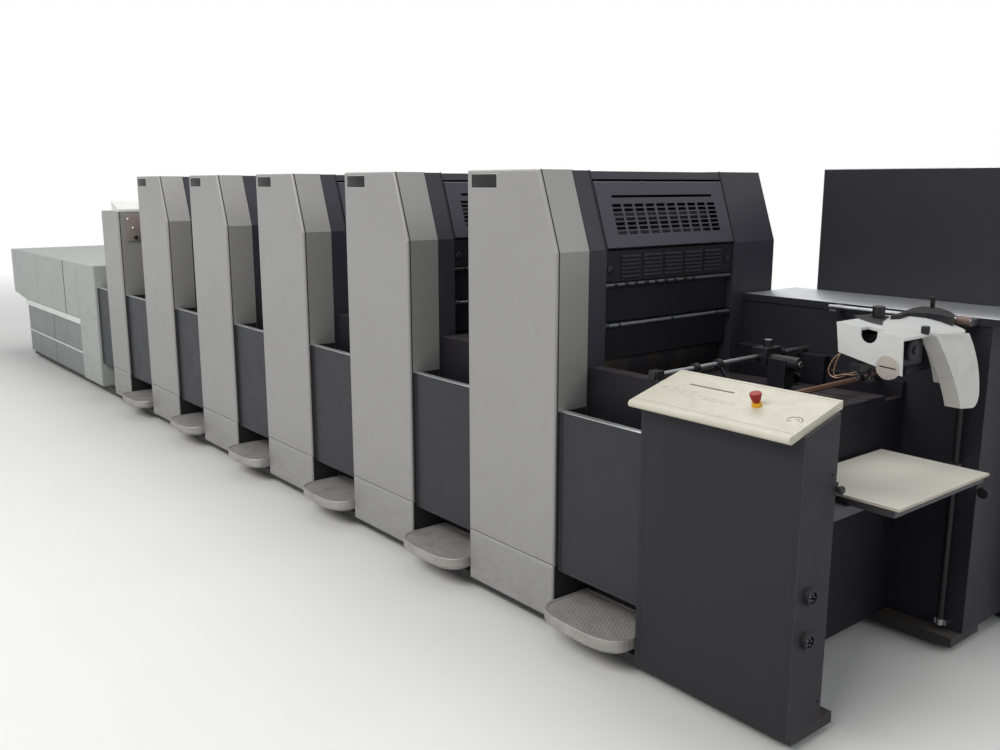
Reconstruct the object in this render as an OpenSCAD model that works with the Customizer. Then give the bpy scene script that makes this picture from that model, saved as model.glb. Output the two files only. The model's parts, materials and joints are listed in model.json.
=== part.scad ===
/* [Press line] */
// Number of printing units in the line
unit_count = 5; // [5:1:5]
// Distance from one printing unit to the next
unit_pitch = 880; // [820:5:1000]
// Width of a unit along the line, at its base
tower_w = 483; // [460:1:520]
// Height of the units above the floor
tower_h = 1620; // [1580:5:1720]
// Height of the face that leans back, from its bend to the top
lean_h = 270; // [250:1:285]
// How far the guard face leans back over its height
lean_run = 93; // [80:1:110]
// Clear height under the covers
floor_gap = 60; // [45:1:80]
// Gap between the last unit and the delivery tower
end_gap = 438; // [380:1:520]
// Width of the delivery tower along the line
delivery_tower_w = 354; // [300:1:420]
// Height of the delivery tower above the floor
delivery_tower_h = 1389; // [1300:1:1500]
// Gap between the delivery tower and the delivery
bridge_gap = 313; // [260:1:380]
// Length of the delivery
delivery_len = 2552; // [2300:1:2900]
// Height of the delivery above the floor
delivery_h = 974; // [930:1:1050]
// Length of the feeder from the first unit's face
feeder_len = 1068; // [1030:1:1150]

/* [Delivery] */
// Length of the outer section of the hood
hood_outer = 876; // [820:1:940]
// Length of the middle section of the hood
hood_middle = 853; // [800:1:920]
// Width of the full-height column at the inner end of the hood
column_w = 453; // [400:1:500]
// Height of the lower edge of the hood
hood_z = 534; // [505:1:560]
// How far that edge rises towards the outer end
hood_rise = 37; // [20:1:60]
// Length of the overhang at the outer end
overhang = 393; // [340:1:450]
// Height of the ledge under the hood
ledge_h = 46; // [35:1:60]
// Height of the lower ledge above the floor
low_ledge_z = 252; // [230:1:280]
// Length of the space for the pile of printed sheets
delivery_space = 1240; // [1100:1:1300]
// Length of the writing desk on the delivery tower
console_len = 150; // [120:1:200]
// Width of the writing desk across the line
console_w = 330; // [250:1:400]

/* [Depth across the line] */
// Thickness of the light covers on the operator side
cover_t = 150; // [120:1:180]
// Thickness of the dark side frame behind them
frame_t = 85; // [60:1:110]
// Clear width between the side frames
bay_w = 700; // [650:1:760]
// Thickness of the covers on the drive side
drive_t = 255; // [220:1:300]
// Setback of the panels between the units from the front of the covers
panel_setback = 23; // [10:1:40]
// Thickness of those panels
panel_t = 25; // [15:1:30]
// Height of the top edge of those panels
panel_top_z = 815; // [780:1:850]
// Height of the bottom edge of those panels
panel_bottom_z = 241; // [220:1:260]
// Height of the gallery between the units
gallery_z = 950; // [930:1:960]
// Depth of the tray behind the panels
tray_depth = 115; // [90:1:130]
// Height of the tray's floor
tray_z = 700; // [660:1:740]
// Height of the seam above the kick panels
kick_z = 256; // [246:1:300]

/* [Guards and rollers] */
// Thickness of the guard's sheet
guard_sheet = 3; // [2:0.5:4]
// Depth of the guard's folded edges
guard_fold = 18; // [12:1:22]
// Gap around the guard
guard_gap = 6; // [5:0.5:8]
// Radius of the guard's hinge knuckle
knuckle_r = 8; // [7:0.5:9]
// Radius of the guard's hinge pins
guard_pin_r = 4; // [3:0.5:5]
// Length of a hinge pin inside the side frame
guard_pin_len = 16; // [10:1:25]
// Distance from the guard's hinge to the first row of slots
grille_top = 76; // [70:1:90]
// Columns of slots in a guard
slot_cols = 10; // [6:1:10]
// Most rows of slots in a guard
slot_rows = 7; // [4:1:7]
// Width of one slot
slot_w = 46; // [30:1:48]
// Height of one slot
slot_h = 12; // [8:0.5:12.5]
// Distance from one slot to the next across the guard
col_pitch = 57; // [52:1:60]
// Distance from one row of slots to the next
row_pitch = 16.5; // [15:0.5:18]
// Length of the handle slot in a guard
handle_w = 544; // [400:1:600]
// Height of the handle slot in a guard
handle_h = 10; // [6:0.5:12]
// Height of the louvred panel under a guard
louvre_h = 106; // [90:1:110]
// Height of the band above the guard
band_h = 31; // [25:1:40]
// Radius of the plate and blanket cylinders
plate_r = 90; // [80:1:92]
// Radius of the impression cylinder
impression_r = 170; // [150:1:172]
// Radius of an ink roller
ink_r = 32; // [26:1:33]
// Radius of the journals of the cylinders
journal_r = 22; // [15:1:26]
// Radius of the rods under the guard
rod_r = 9; // [6:0.5:10]

/* [Steps and base] */
// How far a step stands out in front of the covers
step_out = 100; // [80:1:130]
// Height of a step's tread
step_top_z = 140; // [120:1:180]
// Height of a step's rim
step_rim_h = 50; // [35:1:55]
// Width of the base rails
rail_w = 200; // [150:1:220]
// Height of the levelling feet
foot_h = 25; // [15:1:30]
// Radius of the levelling feet
foot_r = 45; // [30:1:60]

/* [Feeder] */
// Distance from the first unit to the feeder's cabinets
cabinet_gap = 394; // [360:1:420]
// Length of the feeder's operator cabinet
cabinet_len = 571; // [540:1:600]
// Thickness of the feeder's operator cabinet
cabinet_t = 159; // [140:1:175]
// Height of the control desk at its front edge
desk_front_z = 933; // [900:1:960]
// Rise of the control desk from front to back
desk_rise = 66; // [40:1:80]
// Depth of the control desk
desk_depth = 241; // [220:1:260]
// Height of the lower round socket in the cabinet's end
socket_z = 339; // [300:1:380]
// Distance between the two sockets
socket_pitch = 130; // [100:1:150]
// Radius of a socket
socket_r = 24; // [18:1:30]
// Overhang of the control desk in front of the cabinet
desk_over = 60; // [40:1:80]
// Thickness of the control desk
desk_t = 22; // [18:1:30]
// Radius of the stop button
stop_r = 17; // [12:0.5:20]
// Travel of the stop button
stop_travel = 4; // [3:0.5:6]
// Height of the mushroom cap on the stop button
stop_h = 24; // [16:1:28]
// Height of the ledge on the drive side
ledge_z = 1147; // [1120:1:1160]
// Thickness of that ledge
ledge_t = 25; // [15:1:35]
// Gap between the machine and the cabinet behind the ledge
ledge_reach = 166; // [140:1:200]
// Height of the feed board at the pile
feed_board_z = 868; // [860:1:872]
// Thickness of the feed board
board_t = 18; // [12:1:24]
// Width of the feed board
board_w = 600; // [560:1:620]
// Radius of the cross rods of the feeder
cross_r = 9; // [7:0.5:11]
// Sheet length along the line
sheet_len = 360; // [300:1:370]
// Sheet width across the line
sheet_w = 540; // [500:1:560]
// Height of the top of the pile above the floor
pile_top_z = 690; // [650:1:700]
// Height of the pile of sheets
pile_h = 8; // [4:1:60]
// Thickness of the pile board
pile_board_t = 22; // [18:1:30]
// Radius of the pile's guide rods
guide_r = 11; // [8:0.5:14]
// Radius of the rail that carries the suction head
head_rail_r = 8; // [6:0.5:12]

/* [Suction head] */
// Length of the housing along the line
head_len = 217; // [200:1:230]
// Width of the housing across the line
head_w = 200; // [180:1:215]
// Height of the housing at its outer end
head_h = 90; // [80:1:100]
// Thickness of the housing's walls
head_wall = 4; // [3:0.5:6]
// Radius of the notch in the housing's face
notch_r = 26; // [20:1:30]
// Radius of the round plate on the housing's face
disc_r = 36; // [28:1:38]

/* [Electrical cabinet] */
// Length of the electrical cabinet
electric_len = 966; // [900:1:1000]
// Depth of the electrical cabinet
electric_depth = 400; // [350:1:500]
// Height of the electrical cabinet
electric_h = 1630; // [1600:1:1700]
// Height of its plinth
plinth_h = 100; // [60:1:120]

/* [Fits] */
// Running clearance of a pin or rod in its bore
fit = 0.3; // [0.2:0.05:0.5]
// Width of a seam between two covers
seam = 3; // [2:0.5:4]
// Rounding of the covers' front edges
edge_r = 10; // [6:1:14]

/* [Hidden] */
$fn = 48;
line_len = feeder_len + (unit_count - 1)*unit_pitch + tower_w + end_gap + delivery_tower_w
    + bridge_gap + delivery_len;
x_feeder_end = line_len/2;
x_unit = x_feeder_end - feeder_len;
x_last = x_unit - (unit_count - 1)*unit_pitch - tower_w;
x_dtower = x_last - end_gap;
x_dbox = x_dtower - delivery_tower_w - bridge_gap;
x_dend = x_dbox - delivery_len;
depth = cover_t + frame_t + bay_w + drive_t;
y_front = -depth/2;
y_cover = y_front + cover_t;
y_bay = y_cover + frame_t;
y_drive = y_bay + bay_w;
y_back = y_drive + drive_t;
y_panel = y_front + panel_setback;
y_panel_in = y_panel + panel_t;
y_tray = y_panel_in + tray_depth;
y_mid_bay = (y_bay + y_drive)/2;
y_electric = y_back + ledge_reach;
y_shift = -(y_front - step_out + y_electric + electric_depth)/2;
inset_top = 4;
knee_z = tower_h - lean_h;
unit_gap = unit_pitch - tower_w;
door_inset = 20;
door_t = 30;
y_core = [y_front + door_inset + door_t, y_back - door_inset - door_t];
rail_inset = 35;
x_rail = x_dend + 420;
step_side = 10;
step_bulge = 0.67;
lean = atan(lean_run/(tower_h - knee_z));
slope_len = (tower_h - knee_z)/cos(lean);
band_s = slope_len - band_h/cos(lean);
axis_s = band_s - guard_gap - knuckle_r;
hinge_x = -axis_s*sin(lean) - knuckle_r*cos(lean);
hinge_z = knee_z + axis_s*cos(lean) - knuckle_r*sin(lean);
guard_len = axis_s - guard_gap;
guard_w = bay_w - 2*guard_gap;
bay_back = 300;
bay_floor_z = knee_z - 490;
louvre_z = knee_z - guard_gap - louvre_h;
louvre_x = -8;
louvre_fold = 22;
rod_hi = [-19, knee_z - 125];
rod_lo = [-13, knee_z - 268];
flap_x = -31;
flap_t = 3;
blanket_c = [-130, knee_z - 200];
plate_c = blanket_c + (2*plate_r + fit)*[-0.39, sqrt(1 - 0.39*0.39)];
impression_c = blanket_c + (plate_r + impression_r + fit)*[-0.365, -sqrt(1 - 0.365*0.365)];
x_cabinet = x_unit + cabinet_gap;
x_cabinet_end = x_cabinet + cabinet_len;
y_cabinet_back = y_front + cabinet_t;
y_column = y_back - 174;
x_pile = x_feeder_end - sheet_len;
head_rail_z = ledge_z - 7;
head_rail_y = 360;
sleeve_wall = 12;
x_head = x_feeder_end - 316;
y_head = -140;
head_top = head_rail_z + 26;
head_fall = 24;
cap_t = 8;
x_guide = x_feeder_end - 170;
guide_off = 26;
y_guide = [y_cabinet_back + guide_off, y_column - guide_off];
feed_board_drop = 20;
x0_board = x_unit - 6;
x1_board = x_pile - 16;
lay_rod = [x_unit + 288, gallery_z + 15];
lay_y = 170;
stop_rod = [x_pile - 104, 915];
frame_top = 900;
inlet_z = feed_board_z - feed_board_drop - 60;
plate_t = 25;
gaps = concat(
    [[x_unit, x_cabinet]],
    [for (i = [1:unit_count - 1]) [x_unit - i*unit_pitch, x_unit - i*unit_pitch + unit_gap]],
    [[x_dtower, x_last]],
    [[x_dbox, x_dtower - delivery_tower_w]]);

function arc(c, r, a0, a1, n = 6) =
    [for (i = [0:n]) let (a = a0 + (a1 - a0)*i/n) c + r*[cos(a), sin(a)]];

// Inward offset of a convex outline that runs anticlockwise
function edge_normal(p, q) = let (d = q - p) [-d[1], d[0]]/norm(d);
function inset(pts, d) = let (n = len(pts)) [for (i = [0:n - 1])
    let (a = edge_normal(pts[(i + n - 1) % n], pts[i]), b = edge_normal(pts[i], pts[(i + 1) % n]))
    pts[i] + d*(a + b)/(1 + a*b)];

// Outline in x and z, from y0 to y1
module xz_prism(pts, y0, y1) {
    translate([0, y1, 0]) rotate([90, 0, 0]) linear_extrude(y1 - y0) polygon(pts);
}

// Outline in y and z, from x0 to x1
module yz_prism(pts, x0, x1) {
    translate([x0, 0, 0]) rotate([90, 0, 90]) linear_extrude(x1 - x0) polygon(pts);
}

// Box given by its lowest and highest corners
module block(p, q) {
    translate(p) cube(q - p);
}

// Cover with a rounded front edge, from y0 at its face to y1 at its back
module cover(pts, y0, y1, r = edge_r) {
    hull() {
        for (a = [0:30:90])
            xz_prism(inset(pts, r*(1 - sin(a)) + 0.01), y0 + r*(1 - cos(a)), y0 + r*(1 - cos(a)) + 0.1);
        xz_prism(pts, y0 + r, y1);
    }
}

// Cylinder along y
module y_rod(c, r, y0, y1) {
    translate([c[0], y0, c[1]]) rotate([-90, 0, 0]) cylinder(r = r, h = y1 - y0);
}

// Cylinder along x
module x_rod(c, r, x0, x1) {
    translate([x0, c[0], c[1]]) rotate([0, 90, 0]) cylinder(r = r, h = x1 - x0);
}

module at_line() {
    translate([0, y_shift, 0]) children();
}

module at_unit(i) {
    translate([x_unit - (i - 1)*unit_pitch, 0, 0]) children();
}

function rect(x0, z0, x1, z1) = [[x0, z0], [x1, z0], [x1, z1], [x0, z1]];

// Outline of a unit from the side, with the bend of the guard face
function unit_outline(z0, d = 0) = [[-tower_w + d, z0], [-d, z0], [-d, knee_z],
    [-lean_run*(tower_h - d - knee_z)/(tower_h - knee_z) - d, tower_h - d], [-tower_w + d, tower_h - d]];

module base_rails() {
    color("#2e3038")
    for (y = [y_front + rail_inset, y_back - rail_inset - rail_w])
        block([x_rail, y, foot_h], [x_cabinet_end - 8, y + rail_w, floor_gap]);
}

module levelling_feet() {
    end_inset = 60;
    box_inset = 70;
    cabinet_inset = 80;
    xs = concat([x_rail + end_inset, x_dend + delivery_space + end_inset/2, x_dbox - box_inset],
        [for (i = [1:unit_count]) x_unit - (i - 1)*unit_pitch - tower_w/2], [x_cabinet_end - cabinet_inset]);
    color("#3a3c42")
    for (x = xs, y = [y_front + rail_inset + rail_w/2, y_back - rail_inset - rail_w/2])
        translate([x, y, 0]) {
            cylinder(r = foot_r, h = foot_h*0.5);
            cylinder(r = foot_r*0.5, h = foot_h);
        }
}

// Cover of one unit with its kick panel below the seam
module operator_tower(i) {
    color("#b9b8b6") at_unit(i) {
        cover(unit_outline(kick_z + seam), y_front, y_cover);
        cover(rect(-tower_w, floor_gap, 0, kick_z), y_front, y_cover);
    }
}

// Bores for the guard's hinge pins, open towards the bay between the frames
module pin_bore(y0, y1) {
    y_rod([hinge_x, hinge_z], guard_pin_r + fit, y0, y1);
}

module operator_side_frames() {
    color("#5c5e6a")
    for (i = [1:unit_count]) at_unit(i) difference() {
        xz_prism(unit_outline(floor_gap, 2), y_cover, y_bay);
        pin_bore(y_bay - guard_pin_len - 1, y_bay + 1);
    }
}

module drive_side_covers() {
    color("#555763")
    for (i = [1:unit_count]) at_unit(i) difference() {
        xz_prism(unit_outline(floor_gap, 2), y_drive, y_back);
        pin_bore(y_drive - 1, y_drive + guard_pin_len + 1);
        block([-tower_w - 1, y_back - 4, kick_z], [1, y_back + 1, kick_z + seam]);
    }
}

// Room for the impression cylinder
module trough() {
    y_rod(impression_c, impression_r + 8, y_bay - 1, y_drive + 1);
}

module rear_covers() {
    color("#3f4049")
    for (i = [1:unit_count]) at_unit(i) difference() {
        block([-tower_w + 6, y_bay, floor_gap], [-bay_back, y_drive, tower_h - inset_top]);
        trough();
    }
}

module top_covers() {
    top = tower_h - inset_top;
    x_top = -lean_run*(top - knee_z)/(tower_h - knee_z) - 2;
    band_z = knee_z + band_s*cos(lean);
    x_band = -band_s*sin(lean) - 2;
    color("#4a4b57")
    for (i = [1:unit_count]) at_unit(i)
        xz_prism([[-bay_back, band_z], [x_band, band_z], [x_top, top], [-bay_back, top]], y_bay, y_drive);
}

module unit_beds() {
    color("#34353d")
    for (i = [1:unit_count]) at_unit(i) difference() {
        block([-bay_back, y_bay, floor_gap], [-20, y_drive, bay_floor_z]);
        trough();
    }
}

// Guard panel that hangs from its hinge at the origin, outer face towards +x
module guard_panel() {
    handle_z = -44;
    pin_half = guard_w/2 + guard_gap + guard_pin_len;
    rows = min(slot_rows, floor((guard_len - grille_top - 2*guard_fold)/row_pitch) + 1);
    difference() {
        union() {
            y_rod([0, 0], knuckle_r, -guard_w/2, guard_w/2);
            block([knuckle_r - guard_sheet, -guard_w/2, -guard_len], [knuckle_r, guard_w/2, 0]);
            for (s = [-1, 1])
                translate([0, s*(guard_w - guard_sheet)/2, 0])
                    block([knuckle_r - guard_fold, -guard_sheet/2, -guard_len],
                        [knuckle_r, guard_sheet/2, 0]);
            block([knuckle_r - guard_fold, -guard_w/2, -guard_len],
                [knuckle_r, guard_w/2, -guard_len + guard_sheet]);
            y_rod([0, 0], guard_pin_r, -pin_half, pin_half);
        }
        if (rows > 0)
            for (c = [0:slot_cols - 1], r = [0:rows - 1])
                translate([0, (c - (slot_cols - 1)/2)*col_pitch, -grille_top - r*row_pitch])
                    block([-1, -slot_w/2, -slot_h], [knuckle_r + 1, slot_w/2, 0]);
        block([-1, -handle_w/2, handle_z - handle_h], [knuckle_r + 1, handle_w/2, handle_z]);
    }
}

module grille_guard(i) {
    color("#6a6c78") at_unit(i)
        translate([hinge_x, y_mid_bay, hinge_z]) rotate([0, -lean, 0]) guard_panel();
}

module louvre_panels() {
    cols = 5;
    rows = 6;
    pitch = 112;
    slot = 96;
    slot_t = 6;
    row = 14;
    sheet = 4;
    rod_room = 14;
    color("#4c4d58")
    for (i = [1:unit_count]) at_unit(i) {
        difference() {
            union() {
                block([louvre_x - sheet, y_bay, louvre_z], [louvre_x, y_drive, louvre_z + louvre_h]);
                for (z = [louvre_z, louvre_z + louvre_h - sheet])
                    block([louvre_x - louvre_fold, y_bay, z], [louvre_x, y_drive, z + sheet]);
            }
            for (c = [0:cols - 1], r = [0:rows - 1])
                translate([0, y_mid_bay + (c - (cols - 1)/2)*pitch, louvre_z + (r + 1)*row])
                    block([louvre_x - sheet - 1, -slot/2, 0], [louvre_x + 1, slot/2, slot_t]);
        }
        block([flap_x - flap_t, y_bay, rod_lo[1] + rod_room], [flap_x, y_drive, louvre_z - 4]);
        block([flap_x - flap_t, y_bay, gallery_z + 12], [flap_x, y_drive, rod_lo[1] - rod_room]);
    }
}

module guard_rods() {
    color("#c4c4c8")
    for (i = [1:unit_count]) at_unit(i) {
        y_rod(rod_hi, rod_r, y_bay, y_drive);
        y_rod(rod_lo, rod_r - 1, y_bay, y_drive);
    }
}

// Cylinder or roller with journals that reach both side frames
module roller(c, r, journal, shy = 12) {
    y_rod(c, r, y_bay + shy, y_drive - shy);
    y_rod(c, journal, y_bay, y_drive);
}

module steel_cylinders() {
    color("#a4a7ac")
    for (i = [1:unit_count]) at_unit(i) {
        roller(plate_c, plate_r, journal_r);
        roller(impression_c, impression_r, journal_r*1.5);
    }
}

module blanket_cylinders() {
    color("#54657c") for (i = [1:unit_count]) at_unit(i) roller(blanket_c, plate_r, journal_r);
}

// Centres of the ink rollers: three on the plate cylinder and two above them
function forme(a) = plate_c + (plate_r + ink_r + fit)*[cos(a), sin(a)];
function above(p, q) = let (m = (p + q)/2, d = norm(q - p)/2, h = sqrt(pow(2*ink_r + fit, 2) - d*d),
    n = edge_normal(p, q)) m + h*n;

module ink_rollers() {
    f = [for (a = [36, 75, 114]) forme(a)];
    ink_journal_r = 10;
    color("#4b3c3a")
    for (i = [1:unit_count]) at_unit(i)
        for (c = concat(f, [above(f[1], f[0]), above(f[2], f[1])])) roller(c, ink_r, ink_journal_r);
}

// Closed housing over the sheet transfer between two units, lower where the feed board enters
module transfer_housings() {
    y_inlet = [y_bay - 20, y_back - rail_inset - rail_w + 20];
    y1 = y_back - 18;
    joint = 0.5;
    color("#44454f") {
        for (i = [1:len(gaps) - 1])
            block([gaps[i][0], y_tray, floor_gap], [gaps[i][1], y1, gallery_z]);
        for (y = [[y_tray, y_inlet[0]], [y_inlet[1], y1]])
            block([gaps[0][0], y[0], floor_gap], [gaps[0][1], y[1], gallery_z]);
        block([gaps[0][0], y_inlet[0] + joint, floor_gap], [gaps[0][1], y_inlet[1] - joint, inlet_z]);
    }
}

// Box under each tray, behind the panel
module tray_boxes() {
    color("#4a4b55")
    for (g = gaps)
        block([g[0], y_panel_in, panel_bottom_z], [g[1], y_tray, tray_z]);
}

module inter_unit_panels() {
    color("#6d707c")
    for (g = gaps)
        block([g[0] + 1, y_panel, panel_bottom_z], [g[1] - 1, y_panel_in, panel_top_z]);
}

// Outline of a step: straight sides up to the covers' face and a full curve in front of it
function step_outline(w, inner) = concat([[w/2 - inner, y_tray - inner], [inner - w/2, y_tray - inner]],
    [for (a = [180:9:360]) [(w/2 - inner)*sign(cos(a))*pow(abs(cos(a)), step_bulge),
        y_front + step_side - (step_out + step_side - inner)*pow(abs(sin(a)), step_bulge)]]);

// Half-moon step with a raised rim and a tapered underside
module foot_step(w) {
    taper = 16;
    rim_w = 9;
    recess = 3;
    difference() {
        hull() {
            translate([0, 0, step_top_z - step_rim_h + taper]) linear_extrude(step_rim_h - taper)
                polygon(step_outline(w, 0));
            translate([0, 0, step_top_z - step_rim_h]) linear_extrude(1) polygon(step_outline(w, taper));
        }
        translate([0, 0, step_top_z - recess]) linear_extrude(recess + 1) polygon(step_outline(w, rim_w));
    }
}

module foot_steps() {
    color("#a9a9a4")
    for (i = [0:unit_count])
        translate([(gaps[i][0] + gaps[i][1])/2, 0, 0]) foot_step(unit_gap - 20);
}

module delivery_tower() {
    color("#b4b4b3") {
        translate([x_dtower, 0, 0]) {
            cover(rect(-delivery_tower_w, kick_z + seam, 0, delivery_tower_h), y_front, y_cover);
            cover(rect(-delivery_tower_w, floor_gap, 0, kick_z), y_front, y_cover);
            block([-delivery_tower_w + 2, y_cover, floor_gap], [-2, y_back, delivery_tower_h - 2]);
        }
    }
}

// Writing desk on top of the tower, tilted towards the units, and the control plate below it
module delivery_console() {
    front = y_front + edge_r + 2;
    lip = 15;
    rise = 66;
    plate_y = [55, 300];
    plate_z = [-199, -24];
    plate = 8;
    color("#dcdcd8")
    translate([x_dtower, 0, delivery_tower_h]) {
        xz_prism([[-console_len, 0], [0, 0], [0, lip], [-console_len, rise]], front, front + console_w);
        block([0, y_front + plate_y[0], plate_z[0]], [plate, y_front + plate_y[1], plate_z[1]]);
    }
}

// Hood in sections, with the full-height column at its inner end
module delivery_hood() {
    x1 = x_dend + hood_outer;
    x2 = x1 + hood_middle;
    x3 = x_dbox - column_w;
    color("#c9cbcc") {
        cover([[x_dend, hood_z + hood_rise], [x_dend + overhang, hood_z], [x1, hood_z], [x1, delivery_h],
            [x_dend, delivery_h]], y_front, y_back);
        cover(rect(x1 + seam, hood_z, x2, delivery_h), y_front, y_back);
        cover(rect(x2 + seam, hood_z, x3, delivery_h), y_front, y_back);
        cover(rect(x3 + seam, floor_gap, x_dbox, delivery_h), y_front, y_back);
    }
}

module delivery_doors() {
    x0 = x_dend + overhang;
    x2 = x_dbox - column_w;
    x1 = (x0 + x2)/2;
    color("#a3a8ae")
    for (x = [[x0, x1 - seam/2], [x1 + seam/2, x2]], y = [y_front + door_inset, y_back - door_inset - door_t])
        block([x[0], y, floor_gap], [x[1], y + door_t, hood_z - ledge_h]);
}

module delivery_ledges() {
    x0 = x_dend + overhang;
    x2 = x_dbox - column_w;
    ledge_w = 48;
    low_w = 12;
    low_t = 10;
    color("#e4e6e8") {
        for (y = [y_core[0] - ledge_w, y_core[1]])
            block([x0, y, hood_z - ledge_h], [x2, y + ledge_w, hood_z]);
        block([x0, y_front + door_inset - low_w, low_ledge_z],
            [x2, y_front + door_inset, low_ledge_z + low_t]);
    }
}

module delivery_core() {
    color("#3c3f47")
        block([x_dend + delivery_space, y_core[0], floor_gap], [x_dbox - column_w, y_core[1], hood_z]);
}

desk_tilt = atan(desk_rise/desk_depth);
desk_drop = desk_t/cos(desk_tilt);
function desk_z(y) = desk_front_z + desk_rise*(y - (y_front - desk_over))/desk_depth;

module feeder_cabinet() {
    socket_y = y_front + 64;
    socket_len = 14;
    socket_wall = 6;
    socket_floor = 4;
    under = desk_drop + fit;
    color("#4d4f58") {
        yz_prism([[y_front, floor_gap], [y_cabinet_back, floor_gap],
            [y_cabinet_back, desk_z(y_cabinet_back) - under], [y_front, desk_z(y_front) - under]],
            x_cabinet, x_cabinet_end);
        for (z = [socket_z, socket_z + socket_pitch])
            difference() {
                x_rod([socket_y, z], socket_r, x_cabinet_end, x_cabinet_end + socket_len);
                x_rod([socket_y, z], socket_r - socket_wall, x_cabinet_end + socket_floor,
                    x_cabinet_end + socket_len + 1);
            }
    }
}

module control_desk() {
    y0 = y_front - desk_over;
    y1 = y0 + desk_depth;
    r = desk_t/2;
    slot_y = y1 - 75;
    slot_x = 96;
    slot_len = 163;
    color("#e6e2d6")
    difference() {
        yz_prism(concat([[y1, desk_z(y1) - desk_drop], [y1, desk_z(y1)]],
            arc([y0 + r, desk_z(y0 + r) - desk_drop/2], r, 90 + desk_tilt, 270 + desk_tilt, 8)),
            x_cabinet - 2, x_cabinet_end - 10);
        translate([x_cabinet + slot_x, slot_y, desk_z(slot_y)]) rotate([desk_tilt, 0, 0])
            block([0, -4, -8], [slot_len, 4, 2]);
    }
}

stop_x = x_cabinet_end - 200;
stop_y = y_front + 62;
collar_h = 12;

module on_desk() {
    translate([stop_x, stop_y, desk_z(stop_y)]) rotate([desk_tilt, 0, 0]) children();
}

module stop_collar() {
    color("#e3b321") on_desk() difference() {
        cylinder(r = stop_r*0.85, h = collar_h);
        translate([0, 0, 2]) cylinder(r = stop_r/2 + fit, h = collar_h);
    }
}

module stop_button() {
    edge = 3;
    color("#c3261d") on_desk() translate([0, 0, collar_h + stop_travel + 1]) {
        rotate_extrude() polygon(concat([[0, 0], [stop_r*0.7, 0]],
            arc([stop_r - edge, stop_h - edge], edge, 0, 90), [[0, stop_h]]));
        translate([0, 0, -stop_travel - 5]) cylinder(r = stop_r/2, h = stop_travel + 6);
    }
}

module feeder_drive_cabinet() {
    color("#4a4c55") {
        block([x_cabinet, y_column, floor_gap], [x_cabinet_end, y_electric - 30, ledge_z - ledge_t]);
        block([x_unit, y_column, gallery_z], [x_cabinet, y_back, ledge_z - ledge_t]);
        block([x_unit, y_column - 7, ledge_z - ledge_t], [x_feeder_end, y_electric, ledge_z]);
    }
}

function board_z(x) = feed_board_z - feed_board_drop*(x1_board - x)/(x1_board - x0_board);

// Inner side plates of the feeder, joined by the wall at the front of the pile
module feeder_frame() {
    x1 = x1_board;
    x0 = x1 - plate_t;
    color("#3a3b43") {
        block([x_cabinet, y_cabinet_back, floor_gap], [x1, y_cabinet_back + plate_t, frame_top]);
        block([x_cabinet, y_column - plate_t, floor_gap], [x1, y_column, frame_top]);
        xz_prism([[x0, floor_gap], [x1, floor_gap], [x1, board_z(x1) - board_t], [x0, board_z(x0) - board_t]],
            y_cabinet_back, y_column);
    }
}

// Board that slopes down to the first unit, on the housing and the wall at the front of the pile
module feed_board() {
    y0 = y_mid_bay - board_w/2;
    y1 = y_mid_bay + board_w/2;
    tape_w = 30;
    tape_t = 2;
    foot = [x_unit + 120, x_unit + 160];
    color("#565861") {
        xz_prism([[x0_board, board_z(x0_board) - board_t], [x1_board, board_z(x1_board) - board_t],
            [x1_board, board_z(x1_board)], [x0_board, board_z(x0_board)]], y0, y1);
        for (y = [-210, -70, 70, 210])
            xz_prism([[x0_board, board_z(x0_board) - 1], [x1_board, board_z(x1_board) - 1],
                [x1_board, board_z(x1_board) + tape_t], [x0_board, board_z(x0_board) + tape_t]],
                y_mid_bay + y - tape_w/2, y_mid_bay + y + tape_w/2);
        xz_prism([[foot[0], inlet_z], [foot[1], inlet_z], [foot[1], board_z(foot[1]) - board_t + 1],
            [foot[0], board_z(foot[0]) - board_t + 1]], y0, y1);
    }
}

// Block with a bore for a rod along y
module block_on_rod(p, q, c) {
    difference() {
        block(p, q);
        y_rod(c, cross_r + fit, p[1] - 1, q[1] + 1);
    }
}

// Side lay and guide wheels on the first cross rod, and the bearing blocks of both rods
module side_lays() {
    x = lay_rod[0];
    z = lay_rod[1];
    lay_half = 45;
    lay_x = [-26, 36];
    lay_z = [-26, 32];
    knob_r = 17;
    motor_r = 24;
    motor_len = 114;
    wheel_r = 18;
    wheel_t = 14;
    ring_t = 20;
    wheel_x = x + 74;
    wheel_z = board_z(wheel_x) + wheel_r + 4;
    color("#2b2b30") {
        block_on_rod([x - 18, y_tray, gallery_z], [x + 18, y_tray + 36, z + 15], lay_rod);
        for (y = [y_cabinet_back, y_column - plate_t])
            block_on_rod([stop_rod[0] - 16, y, frame_top], [stop_rod[0] + 16, y + plate_t, stop_rod[1] + 14],
                stop_rod);
        difference() {
            union() {
                block([x + lay_x[0], lay_y - lay_half, z + lay_z[0]],
                    [x + lay_x[1], lay_y + lay_half, z + lay_z[1]]);
                translate([x + 8, lay_y, z + lay_z[1]]) cylinder(r = knob_r, h = 26);
                x_rod([lay_y - 10, z - 12], motor_r, x + lay_x[1], x + lay_x[1] + motor_len);
                block([x + 40, lay_y - 40, board_z(x + 40) + 8], [x + 110, lay_y + 20, z]);
            }
            y_rod(lay_rod, cross_r + fit, lay_y - lay_half - 5, lay_y + lay_half + 5);
        }
        for (y = [-230, -110, 250]) difference() {
            union() {
                y_rod(lay_rod, cross_r + 8, y, y + ring_t);
                hull() for (c = [lay_rod, [wheel_x, wheel_z]])
                    y_rod(c, 6, y + 6, y + wheel_t, $fn = 24);
                y_rod([wheel_x, wheel_z], wheel_r, y + 3, y + 3 + wheel_t);
            }
            y_rod(lay_rod, cross_r + fit, y - 1, y + ring_t + 1);
        }
    }
}

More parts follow.
